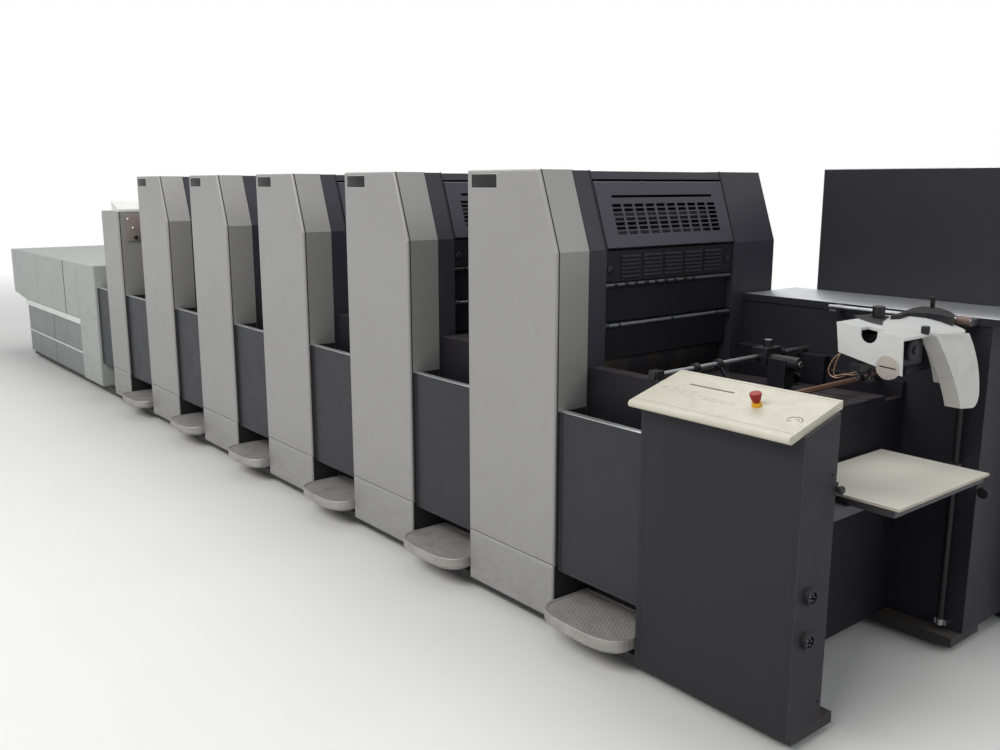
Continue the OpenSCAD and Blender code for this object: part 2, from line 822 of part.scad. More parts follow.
// Rail of the suction head and the guide rods of the pile board
module feeder_guide_rods() {
    rail_over = 172;
    x_end = x_head + rail_over;
    roller_len = 70;
    bracket_w = 26;
    clamp_w = 40;
    clamp_h = 20;
    rod_z = 80;
    rod_len = 820;
    color("#c4c6ca") {
        x_rod([head_rail_y, head_rail_z], head_rail_r, x_cabinet + 20, x_end);
        x_rod([head_rail_y, head_rail_z], head_rail_r + 3, x_end - roller_len, x_end);
        for (x = [x_cabinet + 20, x_end - 30])
            block([x, head_rail_y, head_rail_z - 16], [x + bracket_w, y_column - 7, head_rail_z + 5]);
        for (s = [-1, 1])
            translate([x_guide, s < 0 ? y_guide[0] : y_guide[1], 0]) {
                translate([0, 0, rod_z]) cylinder(r = guide_r, h = rod_len);
                for (z = [rod_z, rod_z + rod_len - clamp_h])
                    block([-clamp_w/2, s < 0 ? -guide_off : 0, z],
                        [clamp_w/2, s < 0 ? 0 : guide_off, z + clamp_h]);
            }
        y_rod(lay_rod, cross_r, y_tray, y_column);
        y_rod(stop_rod, cross_r, y_cabinet_back, y_column);
    }
}

// Arm on a sleeve that slides along the rail, with the post under the cap and the bar of suckers
module suction_head_core() {
    rail = [head_rail_y, head_rail_z];
    z_arm = [head_rail_z - 38, head_rail_z - 9];
    sleeve = [x_head - 14, x_head + 86];
    bar_x = x_head + 60;
    bar_w = 34;
    bar_h = 22;
    bar_half = 150;
    bar_z = head_top - head_h - 48;
    stem_r = 7;
    cup_r = 13;
    cup_h = 10;
    sucker_len = 30;
    y0 = y_head + 60;
    y1 = y_head + head_w;
    color("#55565c") {
        difference() {
            union() {
                x_rod(rail, head_rail_r + sleeve_wall, sleeve[0], sleeve[1]);
                translate([0, 0, z_arm[0]]) linear_extrude(z_arm[1] - z_arm[0])
                    polygon([[x_head + 20, y1 - 20], [x_head + 150, y1 - 20], [x_head + 150, 150],
                        [x_head + 122, 250], [x_head + 84, head_rail_y], [x_head - 8, head_rail_y],
                        [x_head, 230]]);
            }
            x_rod(rail, head_rail_r + fit, sleeve[0] - 5, sleeve[1] + 5);
        }
        block([x_head + 20, y0, head_top - head_h - 20], [x_head + head_len - 62, y1, z_arm[1]]);
        xz_prism([[bar_x, z_arm[1] - 1], [bar_x + bar_w, z_arm[1] - 1],
            [bar_x + bar_w, head_z(bar_x + bar_w) - cap_t - fit], [bar_x, head_z(bar_x) - cap_t - fit]],
            y0 + 20, y1 - 20);
        block([bar_x, -bar_half, bar_z], [bar_x + bar_w, bar_half, bar_z + bar_h]);
        for (y = [-90, 90])
            translate([bar_x + bar_w/2, y, 0]) {
                translate([0, 0, bar_z]) cylinder(r = 12, h = z_arm[0] - bar_z + 2);
                for (x = [-16, 16]) translate([x, 0, bar_z - sucker_len]) {
                    cylinder(r = stem_r, h = sucker_len + 4);
                    cylinder(r1 = cup_r, r2 = stem_r + 1, h = cup_h, $fn = 32);
                }
            }
    }
}

function head_z(x) = head_top - head_fall*(x - x_head)/head_len;

// Points after a of a curve from a to c that is drawn towards b
function curve(a, b, c, n = 6) = [for (i = [1:n]) let (t = i/n) (1 - t)*(1 - t)*a + 2*t*(1 - t)*b + t*t*c];

// Drooping side cover, from its outline in y and in height under the cap
module droop(outline, x0, x1) {
    yz_prism([for (p = outline) [p[0], head_z(x1) - 2 + p[1]]], x0, x1);
}

// Housing of the suction head with its notch, the rounded cap and two drooping covers
module suction_head_covers() {
    y1 = y_head + head_w;
    x1 = x_head + head_len;
    low = head_top - head_h;
    cap_w = 2*head_w;
    notch_x = 107;
    notch = [x_head + notch_x, head_z(x_head + notch_x) - notch_r + 12];
    notch_depth = 40;
    disc_x = 44;
    inner_lobe = [56, 34];
    outer_lobe = [29, 21];
    inner_start = [130, 0];
    inner_tip = [192, -160];
    inner_back = [164, -176];
    outer_start = [205, -12];
    outer_tip = [311, -215];
    outer_back = [195, -246];
    plan = concat([[x_head, y_head], [x1, y_head], [x1, 0], [x1 + 22, 40]],
        arc([x1 - 34, 130], 70, -20, 60, 5), arc([x1 - 90, 110], 125, 70, 130, 5),
        [[x_head - 12, 60], [x_head, 20]]);
    color("#d9dad8") {
        difference() {
            union() {
                xz_prism([[x_head + 12, low], [x1, low - 44], [x1 - 5, head_z(x1 - 5)],
                    [x_head, head_z(x_head)]], y_head, y1);
                intersection() {
                    xz_prism([[x_head - 40, head_z(x_head - 40) - cap_t], [x1 + 60, head_z(x1 + 60) - cap_t],
                        [x1 + 60, head_z(x1 + 60)], [x_head - 40, head_z(x_head - 40)]], y_head, y_head + cap_w);
                    translate([0, 0, low]) linear_extrude(2*head_h) polygon(plan);
                }
            }
            xz_prism([[x_head + 12 + head_wall, low - 100], [x1 + 5, low - 100],
                [x1 + 5, head_z(x1 + 5) - cap_t], [x_head + head_wall, head_z(x_head + head_wall) - cap_t]],
                y_head + head_wall, y1 + 1);
            y_rod(notch, notch_r, y_head - 5, y_head + notch_depth);
            block([notch[0] - notch_r, y_head - 5, notch[1]],
                [notch[0] + notch_r, y_head + notch_depth, head_top + 20]);
        }
        droop(concat([[30, 0], inner_start], curve(inner_start, [170, -90], inner_tip),
            curve(inner_tip, [186, -182], inner_back), curve(inner_back, [130, -90], [60, -30])),
            x1 - inner_lobe[0], x1 - inner_lobe[1]);
        droop(concat([[0, 0], outer_start], curve(outer_start, [300, -110], outer_tip),
            curve(outer_tip, [306, -262], [262, -254]), [outer_back],
            curve(outer_back, [150, -150], [30, -30])),
            x1 - outer_lobe[0], x1 + outer_lobe[1]);
        y_rod([x1 - disc_x, low - 24], disc_r, y_head - 3, y_head + 6);
    }
}

// Board under the pile, on a cross bar with a sleeve on each guide rod
module pile_board() {
    z1 = pile_top_z - pile_h;
    z0 = z1 - pile_board_t;
    bar_h = 30;
    bar_half = 20;
    sleeve_h = 60;
    half_w = sheet_w/2 - 5;
    color("#8f9298")
    difference() {
        union() {
            block([x_pile, y_mid_bay - half_w, z0], [x_feeder_end - 14, y_mid_bay + half_w, z1]);
            block([x_guide - bar_half, y_guide[0], z0 - bar_h], [x_guide + bar_half, y_guide[1], z0]);
            for (y = y_guide)
                translate([x_guide, y, z0 - sleeve_h]) cylinder(r = guide_r + 10, h = sleeve_h);
        }
        for (y = y_guide)
            translate([x_guide, y, z0 - 2*sleeve_h]) cylinder(r = guide_r + fit, h = 3*sleeve_h);
    }
}

module paper_pile() {
    color("#f2f0ea")
        block([x_pile, y_mid_bay - sheet_w/2, pile_top_z - pile_h],
            [x_feeder_end, y_mid_bay + sheet_w/2, pile_top_z]);
}

module electrical_cabinet() {
    x0 = x_feeder_end - electric_len;
    y1 = y_electric + electric_depth;
    plinth_in = [20, 30];
    doors = 3;
    groove = 4;
    groove_end = 30;
    color("#4b4b57") {
        block([x0 + plinth_in[0], y_electric + plinth_in[1], 0],
            [x_feeder_end - plinth_in[0], y1 - plinth_in[1], plinth_h]);
        difference() {
            block([x0, y_electric, plinth_h], [x_feeder_end, y1, electric_h]);
            for (i = [1:doors - 1])
                translate([x0 + i*electric_len/doors, y1, 0])
                    block([-seam/2, -groove, plinth_h + groove_end], [seam/2, 1, electric_h - groove_end]);
        }
    }
}

at_line() base_rails();
at_line() levelling_feet();
at_line() operator_tower(1);  // operator_tower_1
at_line() operator_tower(2);  // operator_tower_2
at_line() operator_tower(3);  // operator_tower_3
at_line() operator_tower(4);  // operator_tower_4
at_line() operator_tower(5);  // operator_tower_5
at_line() operator_side_frames();
at_line() drive_side_covers();
at_line() rear_covers();
at_line() top_covers();
at_line() unit_beds();
at_line() grille_guard(1);  // grille_guard_1
at_line() grille_guard(2);  // grille_guard_2
at_line() grille_guard(3);  // grille_guard_3
at_line() grille_guard(4);  // grille_guard_4
at_line() grille_guard(5);  // grille_guard_5
at_line() louvre_panels();
at_line() guard_rods();
at_line() steel_cylinders();
at_line() blanket_cylinders();
at_line() ink_rollers();
at_line() transfer_housings();
at_line() tray_boxes();
at_line() inter_unit_panels();
at_line() foot_steps();
at_line() delivery_tower();
at_line() delivery_console();
at_line() delivery_hood();
at_line() delivery_doors();
at_line() delivery_ledges();
at_line() delivery_core();
at_line() feeder_cabinet();
at_line() control_desk();
at_line() stop_collar();
at_line() stop_button();
at_line() feeder_drive_cabinet();
at_line() feeder_frame();
at_line() feed_board();
at_line() side_lays();
at_line() feeder_guide_rods();
at_line() suction_head_core();
at_line() suction_head_covers();
at_line() pile_board();
at_line() paper_pile();
at_line() electrical_cabinet();
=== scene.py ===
import json
import math

import bmesh
import bpy
from mathutils import Matrix, Vector


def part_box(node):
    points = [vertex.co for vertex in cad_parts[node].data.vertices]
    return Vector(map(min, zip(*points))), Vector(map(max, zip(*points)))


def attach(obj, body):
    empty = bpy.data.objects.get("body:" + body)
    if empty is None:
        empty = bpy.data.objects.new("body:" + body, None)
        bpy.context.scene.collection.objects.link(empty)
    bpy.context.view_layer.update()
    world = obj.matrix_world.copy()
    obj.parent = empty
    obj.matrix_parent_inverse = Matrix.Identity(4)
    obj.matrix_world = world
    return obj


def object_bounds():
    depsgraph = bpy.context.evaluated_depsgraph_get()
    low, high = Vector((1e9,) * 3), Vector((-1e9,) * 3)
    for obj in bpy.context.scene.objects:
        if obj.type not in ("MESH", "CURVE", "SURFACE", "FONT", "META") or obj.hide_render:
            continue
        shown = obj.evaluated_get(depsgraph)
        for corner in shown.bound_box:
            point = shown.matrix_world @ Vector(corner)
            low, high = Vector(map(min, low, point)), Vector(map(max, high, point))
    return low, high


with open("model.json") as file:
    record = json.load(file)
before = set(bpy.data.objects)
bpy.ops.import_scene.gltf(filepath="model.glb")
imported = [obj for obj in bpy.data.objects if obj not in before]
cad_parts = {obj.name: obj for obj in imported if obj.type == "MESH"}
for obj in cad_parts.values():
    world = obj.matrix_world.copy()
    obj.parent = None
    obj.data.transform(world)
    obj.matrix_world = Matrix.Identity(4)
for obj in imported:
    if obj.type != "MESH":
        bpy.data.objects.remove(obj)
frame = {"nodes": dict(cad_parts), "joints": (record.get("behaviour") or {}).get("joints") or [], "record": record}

NODES = frame["nodes"]
CAD_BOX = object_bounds()
X, Y, Z = Vector((1, 0, 0)), Vector((0, 1, 0)), Vector((0, 0, 1))


def srgb(red, green, blue):
    """A colour given as screen values from 0 to 255, as the linear colour that shaders take."""
    parts = [c / 255 for c in (red, green, blue)]
    linear = [c / 12.92 if c <= 0.04045 else ((c + 0.055) / 1.055) ** 2.4 for c in parts]
    return (*linear, 1.0)


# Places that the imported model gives

UNITS = [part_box(f"operator_tower_{i}") for i in range(1, 6)]
UNIT_FACES = [high.x for low, high in UNITS]
UNIT_W = UNITS[0][1].x - UNITS[0][0].x
UNIT_TOP = UNITS[0][1].z
FRONT_Y = UNITS[0][0].y
COVER_Y = UNITS[0][1].y
BAY_Y = (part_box("guard_rods")[0].y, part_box("guard_rods")[1].y)
BAY_MIDDLE = (BAY_Y[0] + BAY_Y[1]) / 2
DRIVE_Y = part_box("drive_side_covers")[1].y
CENTRE_Y = (FRONT_Y + DRIVE_Y) / 2
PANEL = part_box("inter_unit_panels")
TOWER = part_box("delivery_tower")
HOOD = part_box("delivery_hood")
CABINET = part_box("feeder_cabinet")
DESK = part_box("control_desk")
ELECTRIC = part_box("electrical_cabinet")
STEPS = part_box("foot_steps")
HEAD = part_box("suction_head_covers")
COVERS = [CABINET] + UNITS + [TOWER]
STEP_GAPS = [(COVERS[k + 1][1].x, COVERS[k][0].x) for k in range(len(COVERS) - 1)]
PANEL_GAPS = STEP_GAPS + [(HOOD[1].x, TOWER[0].x)]

# Sizes of the side outline of a unit and of its parts under the guard

KNEE_Z = 1.350
LEAN_RUN = 0.093
LEAN = math.atan2(LEAN_RUN, UNIT_TOP - KNEE_Z)
KICK_Z = (0.256, 0.259)
ROD_HIGH = (-0.019, 1.225)
ROD_LOW = (-0.013, 1.082)
LOUVRE = (-0.008, 1.238)
GUARD_LEN = 0.2318
GUARD_FACE = 0.008
DESK_TILT = math.atan2(0.066, 0.241)


def across(y):
    """The place of a point that lies so far from the machine's centre line."""
    return CENTRE_Y + y


# Node helpers

class Graph:
    """A node tree, with a short call for each kind of node that is used often."""

    def __init__(self, tree):
        self.tree = tree

    def put(self, kind, inputs=None, **settings):
        """Adds a node, with its settings and with its inputs linked or set."""
        node = self.tree.nodes.new(kind)
        for name, value in settings.items():
            setattr(node, name, value)
        for key, value in (inputs or {}).items():
            if isinstance(value, bpy.types.NodeSocket):
                self.link(value, node.inputs[key])
            else:
                node.inputs[key].default_value = value
        return node

    def link(self, start, end):
        self.tree.links.new(start, end)

    def calc(self, operation, a, b=0.0, clamp=False):
        return self.put("ShaderNodeMath", {0: a, 1: b}, operation=operation, use_clamp=clamp).outputs[0]

    def times(self, a, b, clamp=False):
        return self.calc("MULTIPLY", a, b, clamp)

    def plus(self, a, b, clamp=False):
        return self.calc("ADD", a, b, clamp)

    def spread(self, value, low, high, out_low=0.0, out_high=1.0):
        """Maps a value from one range to another, held at its ends."""
        inputs = {0: value, 1: low, 2: high, 3: out_low, 4: out_high}
        return self.put("ShaderNodeMapRange", inputs).outputs[0]

    def noise(self, vector, scale, detail=3.0, roughness=0.5, distortion=0.0):
        inputs = {"Vector": vector, "Scale": scale, "Detail": detail, "Roughness": roughness,
                  "Distortion": distortion}
        return self.put("ShaderNodeTexNoise", inputs).outputs["Fac"]

    def stretched(self, vector, scale):
        return self.put("ShaderNodeVectorMath", {0: vector, 1: scale}, operation="MULTIPLY").outputs[0]

    def tinted(self, factor, base, over):
        """Lays a second colour over the base where the factor is high."""
        return self.put("ShaderNodeMix", {0: factor, 6: base, 7: over}, data_type="RGBA").outputs[2]

    def stained(self, base, mask, share, over):
        """Lays no more than a share of a colour over the base, where the mask is high."""
        return self.tinted(self.times(mask, share), base, over)


def shaded(colour, share):
    """The colour at a share of its light."""
    return (*[c * share for c in colour[:3]], 1.0)


def group(name, inputs, outputs):
    """A node group with named sockets. Returns its graph, its inner inputs and its inner outputs."""
    tree = bpy.data.node_groups.new(name, "ShaderNodeTree")
    for label, value in inputs.items():
        kind = "NodeSocketVector" if value is None else "NodeSocketFloat"
        socket = tree.interface.new_socket(label, in_out="INPUT", socket_type=kind)
        if value is not None:
            socket.default_value = value
    for label in outputs:
        tree.interface.new_socket(label, in_out="OUTPUT", socket_type="NodeSocketFloat")
    return Graph(tree), tree.nodes.new("NodeGroupInput").outputs, tree.nodes.new("NodeGroupOutput").inputs


# Shared effects

def paint_grain_group():
    """Fine skin of sprayed paint, slow change of tone over a panel, and the smudges of handling."""
    g, i, o = group("paint_grain", {"Vector": None, "Scale": 420.0}, ["Height", "Mottle", "Smudge"])
    coarse = g.noise(i["Vector"], i["Scale"], 2.0)
    fine = g.noise(i["Vector"], g.times(i["Scale"], 4.5), 1.0)
    height = g.plus(g.times(coarse, 0.75), g.times(fine, 0.25))
    g.link(height, o["Height"])
    g.link(g.noise(i["Vector"], 1.9, 4.0, 0.55), o["Mottle"])
    smudge = g.noise(i["Vector"], 7.5, 6.0, 0.62, 0.8)
    g.link(g.spread(smudge, 0.47, 0.70), o["Smudge"])
    return g.tree


def edge_wear_group():
    """Mask of corners and folds, broken up by a fine noise."""
    g, i, o = group("edge_wear", {"Vector": None, "Width": 0.004, "Amount": 1.0}, ["Mask"])
    rounded = g.put("ShaderNodeBevel", {"Radius": i["Width"]}, samples=4).outputs[0]
    flat = g.put("ShaderNodeNewGeometry").outputs["Normal"]
    same = g.put("ShaderNodeVectorMath", {0: rounded, 1: flat}, operation="DOT_PRODUCT").outputs["Value"]
    edge = g.spread(same, 0.995, 0.86)
    broken = g.spread(g.noise(i["Vector"], 55.0, 5.0, 0.65), 0.40, 0.62)
    mask = g.times(g.times(edge, broken), i["Amount"], True)
    g.link(mask, o["Mask"])
    return g.tree


def settled_dust_group():
    """Mask of dust on faces that look up."""
    g, i, o = group("settled_dust", {"Vector": None, "Amount": 0.5}, ["Mask"])
    normal = g.put("ShaderNodeNewGeometry").outputs["Normal"]
    up = g.spread(g.put("ShaderNodeSeparateXYZ", {0: normal}).outputs["Z"], 0.35, 0.98)
    patches = g.spread(g.noise(i["Vector"], 5.0, 6.0, 0.6), 0.30, 0.66, 0.35, 1.0)
    mask = g.times(g.times(up, patches), i["Amount"], True)
    g.link(mask, o["Mask"])
    return g.tree


def floor_scuffs_group():
    """Mask of scuffs and splashed dirt that fade out above the floor."""
    g, i, o = group("floor_scuffs", {"Vector": None, "Reach": 0.3, "Amount": 0.5}, ["Mask"])
    z = g.put("ShaderNodeSeparateXYZ", {0: i["Vector"]}).outputs["Z"]
    near = g.calc("SUBTRACT", 1.0, g.calc("DIVIDE", z, i["Reach"]), True)
    long_marks = g.noise(g.stretched(i["Vector"], (14.0, 14.0, 60.0)), 1.0, 5.0, 0.7)
    specks = g.noise(i["Vector"], 90.0, 4.0, 0.7)
    marks = g.spread(g.plus(long_marks, g.times(specks, 0.5)), 0.70, 0.95)
    mask = g.times(g.times(near, marks), i["Amount"], True)
    g.link(mask, o["Mask"])
    return g.tree


def run_streaks_group():
    """Mask of faint upright streaks, where a drip ran down."""
    g, i, o = group("run_streaks", {"Vector": None, "Amount": 0.4}, ["Mask"])
    lines = g.noise(g.stretched(i["Vector"], (46.0, 46.0, 1.3)), 1.0, 4.0, 0.6)
    fade = g.spread(g.noise(i["Vector"], 2.6, 2.0), 0.35, 0.65)
    streaks = g.times(g.spread(lines, 0.52, 0.72), fade)
    g.link(g.times(streaks, i["Amount"], True), o["Mask"])
    return g.tree


def turned_metal_group():
    """Fine lines of ground or drawn metal. The stretch is small along the lines."""
    g, i, o = group("turned_metal", {"Vector": None, "Stretch": None}, ["Height", "Tone"])
    drawn = g.stretched(i["Vector"], i["Stretch"])
    g.link(g.noise(drawn, 1.0, 3.0, 0.6), o["Height"])
    g.link(g.noise(i["Vector"], 12.0, 5.0, 0.6), o["Tone"])
    return g.tree


def speckle_group():
    """Mask of small dark spots, thick in places and thin in others."""
    g, i, o = group("speckle", {"Vector": None, "Scale": 160.0, "Cover": 0.3}, ["Mask"])
    cells = g.put("ShaderNodeTexVoronoi", {"Vector": i["Vector"], "Scale": i["Scale"]})
    crowd = g.spread(g.noise(i["Vector"], 14.0, 5.0, 0.6), 0.3, 0.7, 0.4, 1.6)
    radius = g.times(crowd, i["Cover"])
    edge = g.calc("SUBTRACT", radius, cells.outputs["Distance"])
    g.link(g.spread(edge, 0.0, 0.08), o["Mask"])
    return g.tree


GRAIN = paint_grain_group()
WEAR = edge_wear_group()
DUST = settled_dust_group()
SCUFFS = floor_scuffs_group()
STREAKS = run_streaks_group()
TURNED = turned_metal_group()
SPECKLE = speckle_group()


# Materials

DUST_COLOUR = srgb(150, 144, 134)
GRIME_COLOUR = srgb(48, 44, 40)
BARE_METAL = srgb(150, 148, 145)


class Finish(Graph):
    """A material in the making: its output, and the place on the object as its coordinates."""

    def __init__(self, name):
        self.material = bpy.data.materials.new(name)
        self.material.use_nodes = True
        super().__init__(self.material.node_tree)
        self.tree.nodes.clear()
        self.output = self.put("ShaderNodeOutputMaterial")
        self.place = self.put("ShaderNodeTexCoord").outputs["Object"]

    def use(self, shared, **inputs):
        """Places a shared effect with its own values, and returns its outputs."""
        return self.put("ShaderNodeGroup", {"Vector": self.place, **inputs}, node_tree=shared).outputs

    def close(self, shader):
        """Links the last shader to the output, and returns the material."""
        self.link(shader.outputs[0], self.output.inputs[0])
        return self.material

    def coated(self, colour, roughness, height, depth, metallic=0.0, **sockets):
        """Closes with the usual shader and its bump. Sockets are values, with underscores for spaces."""
        bump = self.put("ShaderNodeBump", {"Strength": 1.0, "Distance": depth, "Height": height}).outputs[0]
        inputs = {"Base Color": colour, "Roughness": roughness, "Metallic": metallic, "Normal": bump}
        shader = self.put("ShaderNodeBsdfPrincipled", inputs)
        for key, value in sockets.items():
            shader.inputs[key.replace("_", " ")].default_value = value
        return self.close(shader)


def sprayed_paint(name, colour, roughness=0.42, deep=0.86, dust=0.35, wear=0.5, worn=GRIME_COLOUR, scuffs=0.6,
                  streaks=0.25, smudge=0.08, metallic=0.0, coat=0.0, scale=420.0, shine=0.5):
    """Sprayed sheet metal: two close tones, smudges, streaks, dust, scuffs near the floor and worn edges."""
    g = Finish(name)
    grain = g.use(GRAIN, Scale=scale)
    dark = shaded(colour, deep)
    tone = g.tinted(g.spread(grain["Mottle"], 0.3, 0.7), dark, colour)
    smudged = g.stained(tone, grain["Smudge"], smudge, GRIME_COLOUR)
    run = g.use(STREAKS, Amount=streaks)["Mask"]
    streaked = g.stained(smudged, run, 0.45, dark)
    low_dirt = g.use(SCUFFS, Reach=0.32, Amount=scuffs)["Mask"]
    scuffed = g.stained(streaked, low_dirt, 0.55, GRIME_COLOUR)
    edges = g.use(WEAR, Width=0.004, Amount=wear)["Mask"]
    edged = g.stained(scuffed, edges, 0.6, worn)
    dusty = g.use(DUST, Amount=dust)["Mask"]
    final = g.stained(edged, dusty, 0.55, DUST_COLOUR)
    sheen = g.plus(roughness, g.times(grain["Smudge"], smudge))
    rough = g.plus(sheen, g.times(dusty, 0.25), True)
    return g.coated(final, rough, grain["Height"], 0.00012, metallic, Coat_Weight=coat, Coat_Roughness=0.25,
                    Specular_IOR_Level=shine)


def ground_steel(name, colour, roughness=0.28, stretch=(300.0, 6.0, 300.0), oil=0.35):
    """Ground or drawn steel with fine lines, and darker where oil and dirt have stayed."""
    g = Finish(name)
    lines = g.use(TURNED, Stretch=stretch)
    patch = g.spread(lines["Tone"], 0.42, 0.68)
    oily = g.stained(colour, patch, oil, srgb(84, 76, 66))
    edges = g.use(WEAR, Width=0.002, Amount=0.6)["Mask"]
    final = g.stained(oily, edges, 0.5, srgb(205, 205, 203))
    rough = g.plus(roughness, g.times(lines["Height"], 0.16), True)
    return g.coated(final, rough, lines["Height"], 0.00004, 1.0)


def cast_iron(name, colour):
    """Rough painted casting with oil, dust and chipped edges."""
    g = Finish(name)
    grain = g.use(GRAIN, Scale=150.0)
    tone = g.tinted(grain["Mottle"], shaded(colour, 0.6), colour)
    edges = g.use(WEAR, Width=0.005, Amount=0.9)["Mask"]
    edged = g.stained(tone, edges, 0.45, srgb(96, 92, 88))
    dusty = g.use(DUST, Amount=0.8)["Mask"]
    final = g.stained(edged, dusty, 0.6, srgb(112, 104, 92))
    rough = g.plus(0.55, g.times(grain["Smudge"], 0.2))
    return g.coated(final, rough, grain["Height"], 0.0006)


def moulded_plastic(name, colour, roughness, scale=1500.0, dust=0.2, coat=0.0, shine=0.5):
    """Moulded plastic with a spark-eroded skin, a little yellowed and handled."""
    g = Finish(name)
    grain = g.use(GRAIN, Scale=scale)
    aged = (colour[0] * 0.9, colour[1] * 0.9 * 0.98, colour[2] * 0.9 * 0.93, 1.0)
    tone = g.tinted(g.spread(grain["Mottle"], 0.35, 0.7), colour, aged)
    handled = g.stained(tone, grain["Smudge"], 0.12, GRIME_COLOUR)
    edges = g.use(WEAR, Width=0.003, Amount=0.5)["Mask"]
    edged = g.stained(handled, edges, 0.3, GRIME_COLOUR)
    dusty = g.use(DUST, Amount=dust)["Mask"]
    final = g.stained(edged, dusty, 0.4, DUST_COLOUR)
    rough = g.plus(roughness, g.times(grain["Smudge"], 0.15), True)
    return g.coated(final, rough, grain["Height"], 0.00005, Coat_Weight=coat, Coat_Roughness=0.12,
                    Specular_IOR_Level=shine)


def rubber(name, colour, roughness):
    """Rubber or roller covering with ink film and a dull bloom."""
    g = Finish(name)
    grain = g.use(GRAIN, Scale=600.0)
    tone = g.tinted(grain["Mottle"], shaded(colour, 0.7), colour)
    rings = g.noise(g.stretched(g.place, (2.0, 160.0, 2.0)), 1.0, 3.0, 0.6)
    bloom = g.tinted(g.spread(rings, 0.5, 0.8, 0.0, 0.1), tone, srgb(120, 118, 118))
    rough = g.plus(roughness, g.times(grain["Smudge"], -0.12), True)
    return g.coated(bloom, rough, grain["Height"], 0.00008)


def speckled_tread(name):
    """Worn aluminium tread with trodden dirt in dark specks and a brown film."""
    g = Finish(name)
    lines = g.use(TURNED, Stretch=(90.0, 40.0, 40.0))
    spots = g.use(SPECKLE, Scale=230.0, Cover=0.34)["Mask"]
    film = g.tinted(g.spread(lines["Tone"], 0.3, 0.7), srgb(174, 172, 168), srgb(152, 149, 143))
    spotted = g.stained(film, spots, 0.5, srgb(84, 78, 70))
    edges = g.use(WEAR, Width=0.003, Amount=1.0)["Mask"]
    final = g.stained(spotted, edges, 0.7, srgb(196, 195, 190))
    rough = g.spread(lines["Tone"], 0.3, 0.7, 0.42, 0.62)
    height = g.plus(g.times(lines["Height"], 0.5), g.times(spots, 0.5))
    return g.coated(final, rough, height, 0.0004, 0.35)


def sheet_stack(name):
    """Paper: warm white with faint fibres, and the edges of the single sheets on the sides of the pile."""
    g = Finish(name)
    normal = g.put("ShaderNodeNewGeometry").outputs["Normal"]
    up = g.calc("ABSOLUTE", g.put("ShaderNodeSeparateXYZ", {0: normal}).outputs["Z"])
    side = g.spread(up, 0.7, 0.3)
    edges = g.noise(g.stretched(g.place, (8.0, 8.0, 1900.0)), 1.0, 2.0, 0.7)
    fibres = g.noise(g.stretched(g.place, (260.0, 700.0, 260.0)), 1.0, 4.0, 0.7)
    face = g.tinted(g.spread(fibres, 0.3, 0.75), srgb(206, 202, 192), srgb(196, 191, 180))
    cut = g.tinted(g.spread(edges, 0.35, 0.7), srgb(205, 197, 180), srgb(150, 141, 126))
    final = g.tinted(side, face, cut)
    height = g.plus(g.times(fibres, 0.15), g.times(edges, side))
    return g.coated(final, 0.72, height, 0.0003)


MATERIALS = {
    "tower_paint": sprayed_paint("tower_paint", srgb(149, 148, 146), 0.38, deep=0.96, metallic=0.25,
                                 coat=0.15, streaks=0.1, smudge=0.04),
    "inner_paint": sprayed_paint("inner_paint", srgb(52, 51, 60), 0.45, worn=BARE_METAL, wear=0.25,
                                 streaks=0.1, shine=0.35),
    "guard_paint": sprayed_paint("guard_paint", srgb(60, 58, 70), 0.46, worn=BARE_METAL, wear=0.3,
                                 scale=700.0, shine=0.4),
    "dark_paint": sprayed_paint("dark_paint", srgb(30, 28, 34), 0.5, worn=BARE_METAL, wear=0.2, dust=0.15,
                                shine=0.2),
    "panel_paint": sprayed_paint("panel_paint", srgb(50, 50, 56), metallic=0.2, worn=BARE_METAL, wear=0.4,
                                 shine=0.3),
    "cabinet_paint": sprayed_paint("cabinet_paint", srgb(36, 35, 42), 0.52, worn=BARE_METAL, wear=0.25,
                                   scale=900.0, streaks=0.1, shine=0.3),
    "delivery_paint": sprayed_paint("delivery_paint", srgb(166, 170, 166), 0.4, deep=0.95, dust=0.2,
                                    streaks=0.15),
    "base_iron": cast_iron("base_iron", srgb(44, 43, 45)),
    "frame_iron": cast_iron("frame_iron", srgb(34, 34, 38)),
    "bright_steel": ground_steel("bright_steel", srgb(168, 169, 171)),
    "black_steel": sprayed_paint("black_steel", srgb(30, 29, 32), 0.38, worn=BARE_METAL, wear=0.35,
                                 scuffs=0.0, dust=0.15, shine=0.3),
    "board_metal": ground_steel("board_metal", srgb(92, 92, 96), 0.5, (8.0, 260.0, 260.0)),
    "bright_trim": ground_steel("bright_trim", srgb(214, 215, 216), 0.33, (5.0, 320.0, 320.0), oil=0.1),
    "blanket_rubber": rubber("blanket_rubber", srgb(66, 82, 104), 0.6),
    "roller_rubber": rubber("roller_rubber", srgb(22, 19, 19), 0.55),
    "step_tread": speckled_tread("step_tread"),
    "console_plastic": moulded_plastic("console_plastic", srgb(224, 224, 220), 0.42),
    "desk_plastic": moulded_plastic("desk_plastic", srgb(198, 194, 178), 0.42, coat=0.1),
    "head_cover": moulded_plastic("head_cover", srgb(206, 207, 206), 0.36, coat=0.15),
    "yellow_plastic": moulded_plastic("yellow_plastic", srgb(222, 164, 22), 0.35),
    "red_plastic": moulded_plastic("red_plastic", srgb(150, 22, 14), 0.42),
    "paper": sheet_stack("paper"),
}

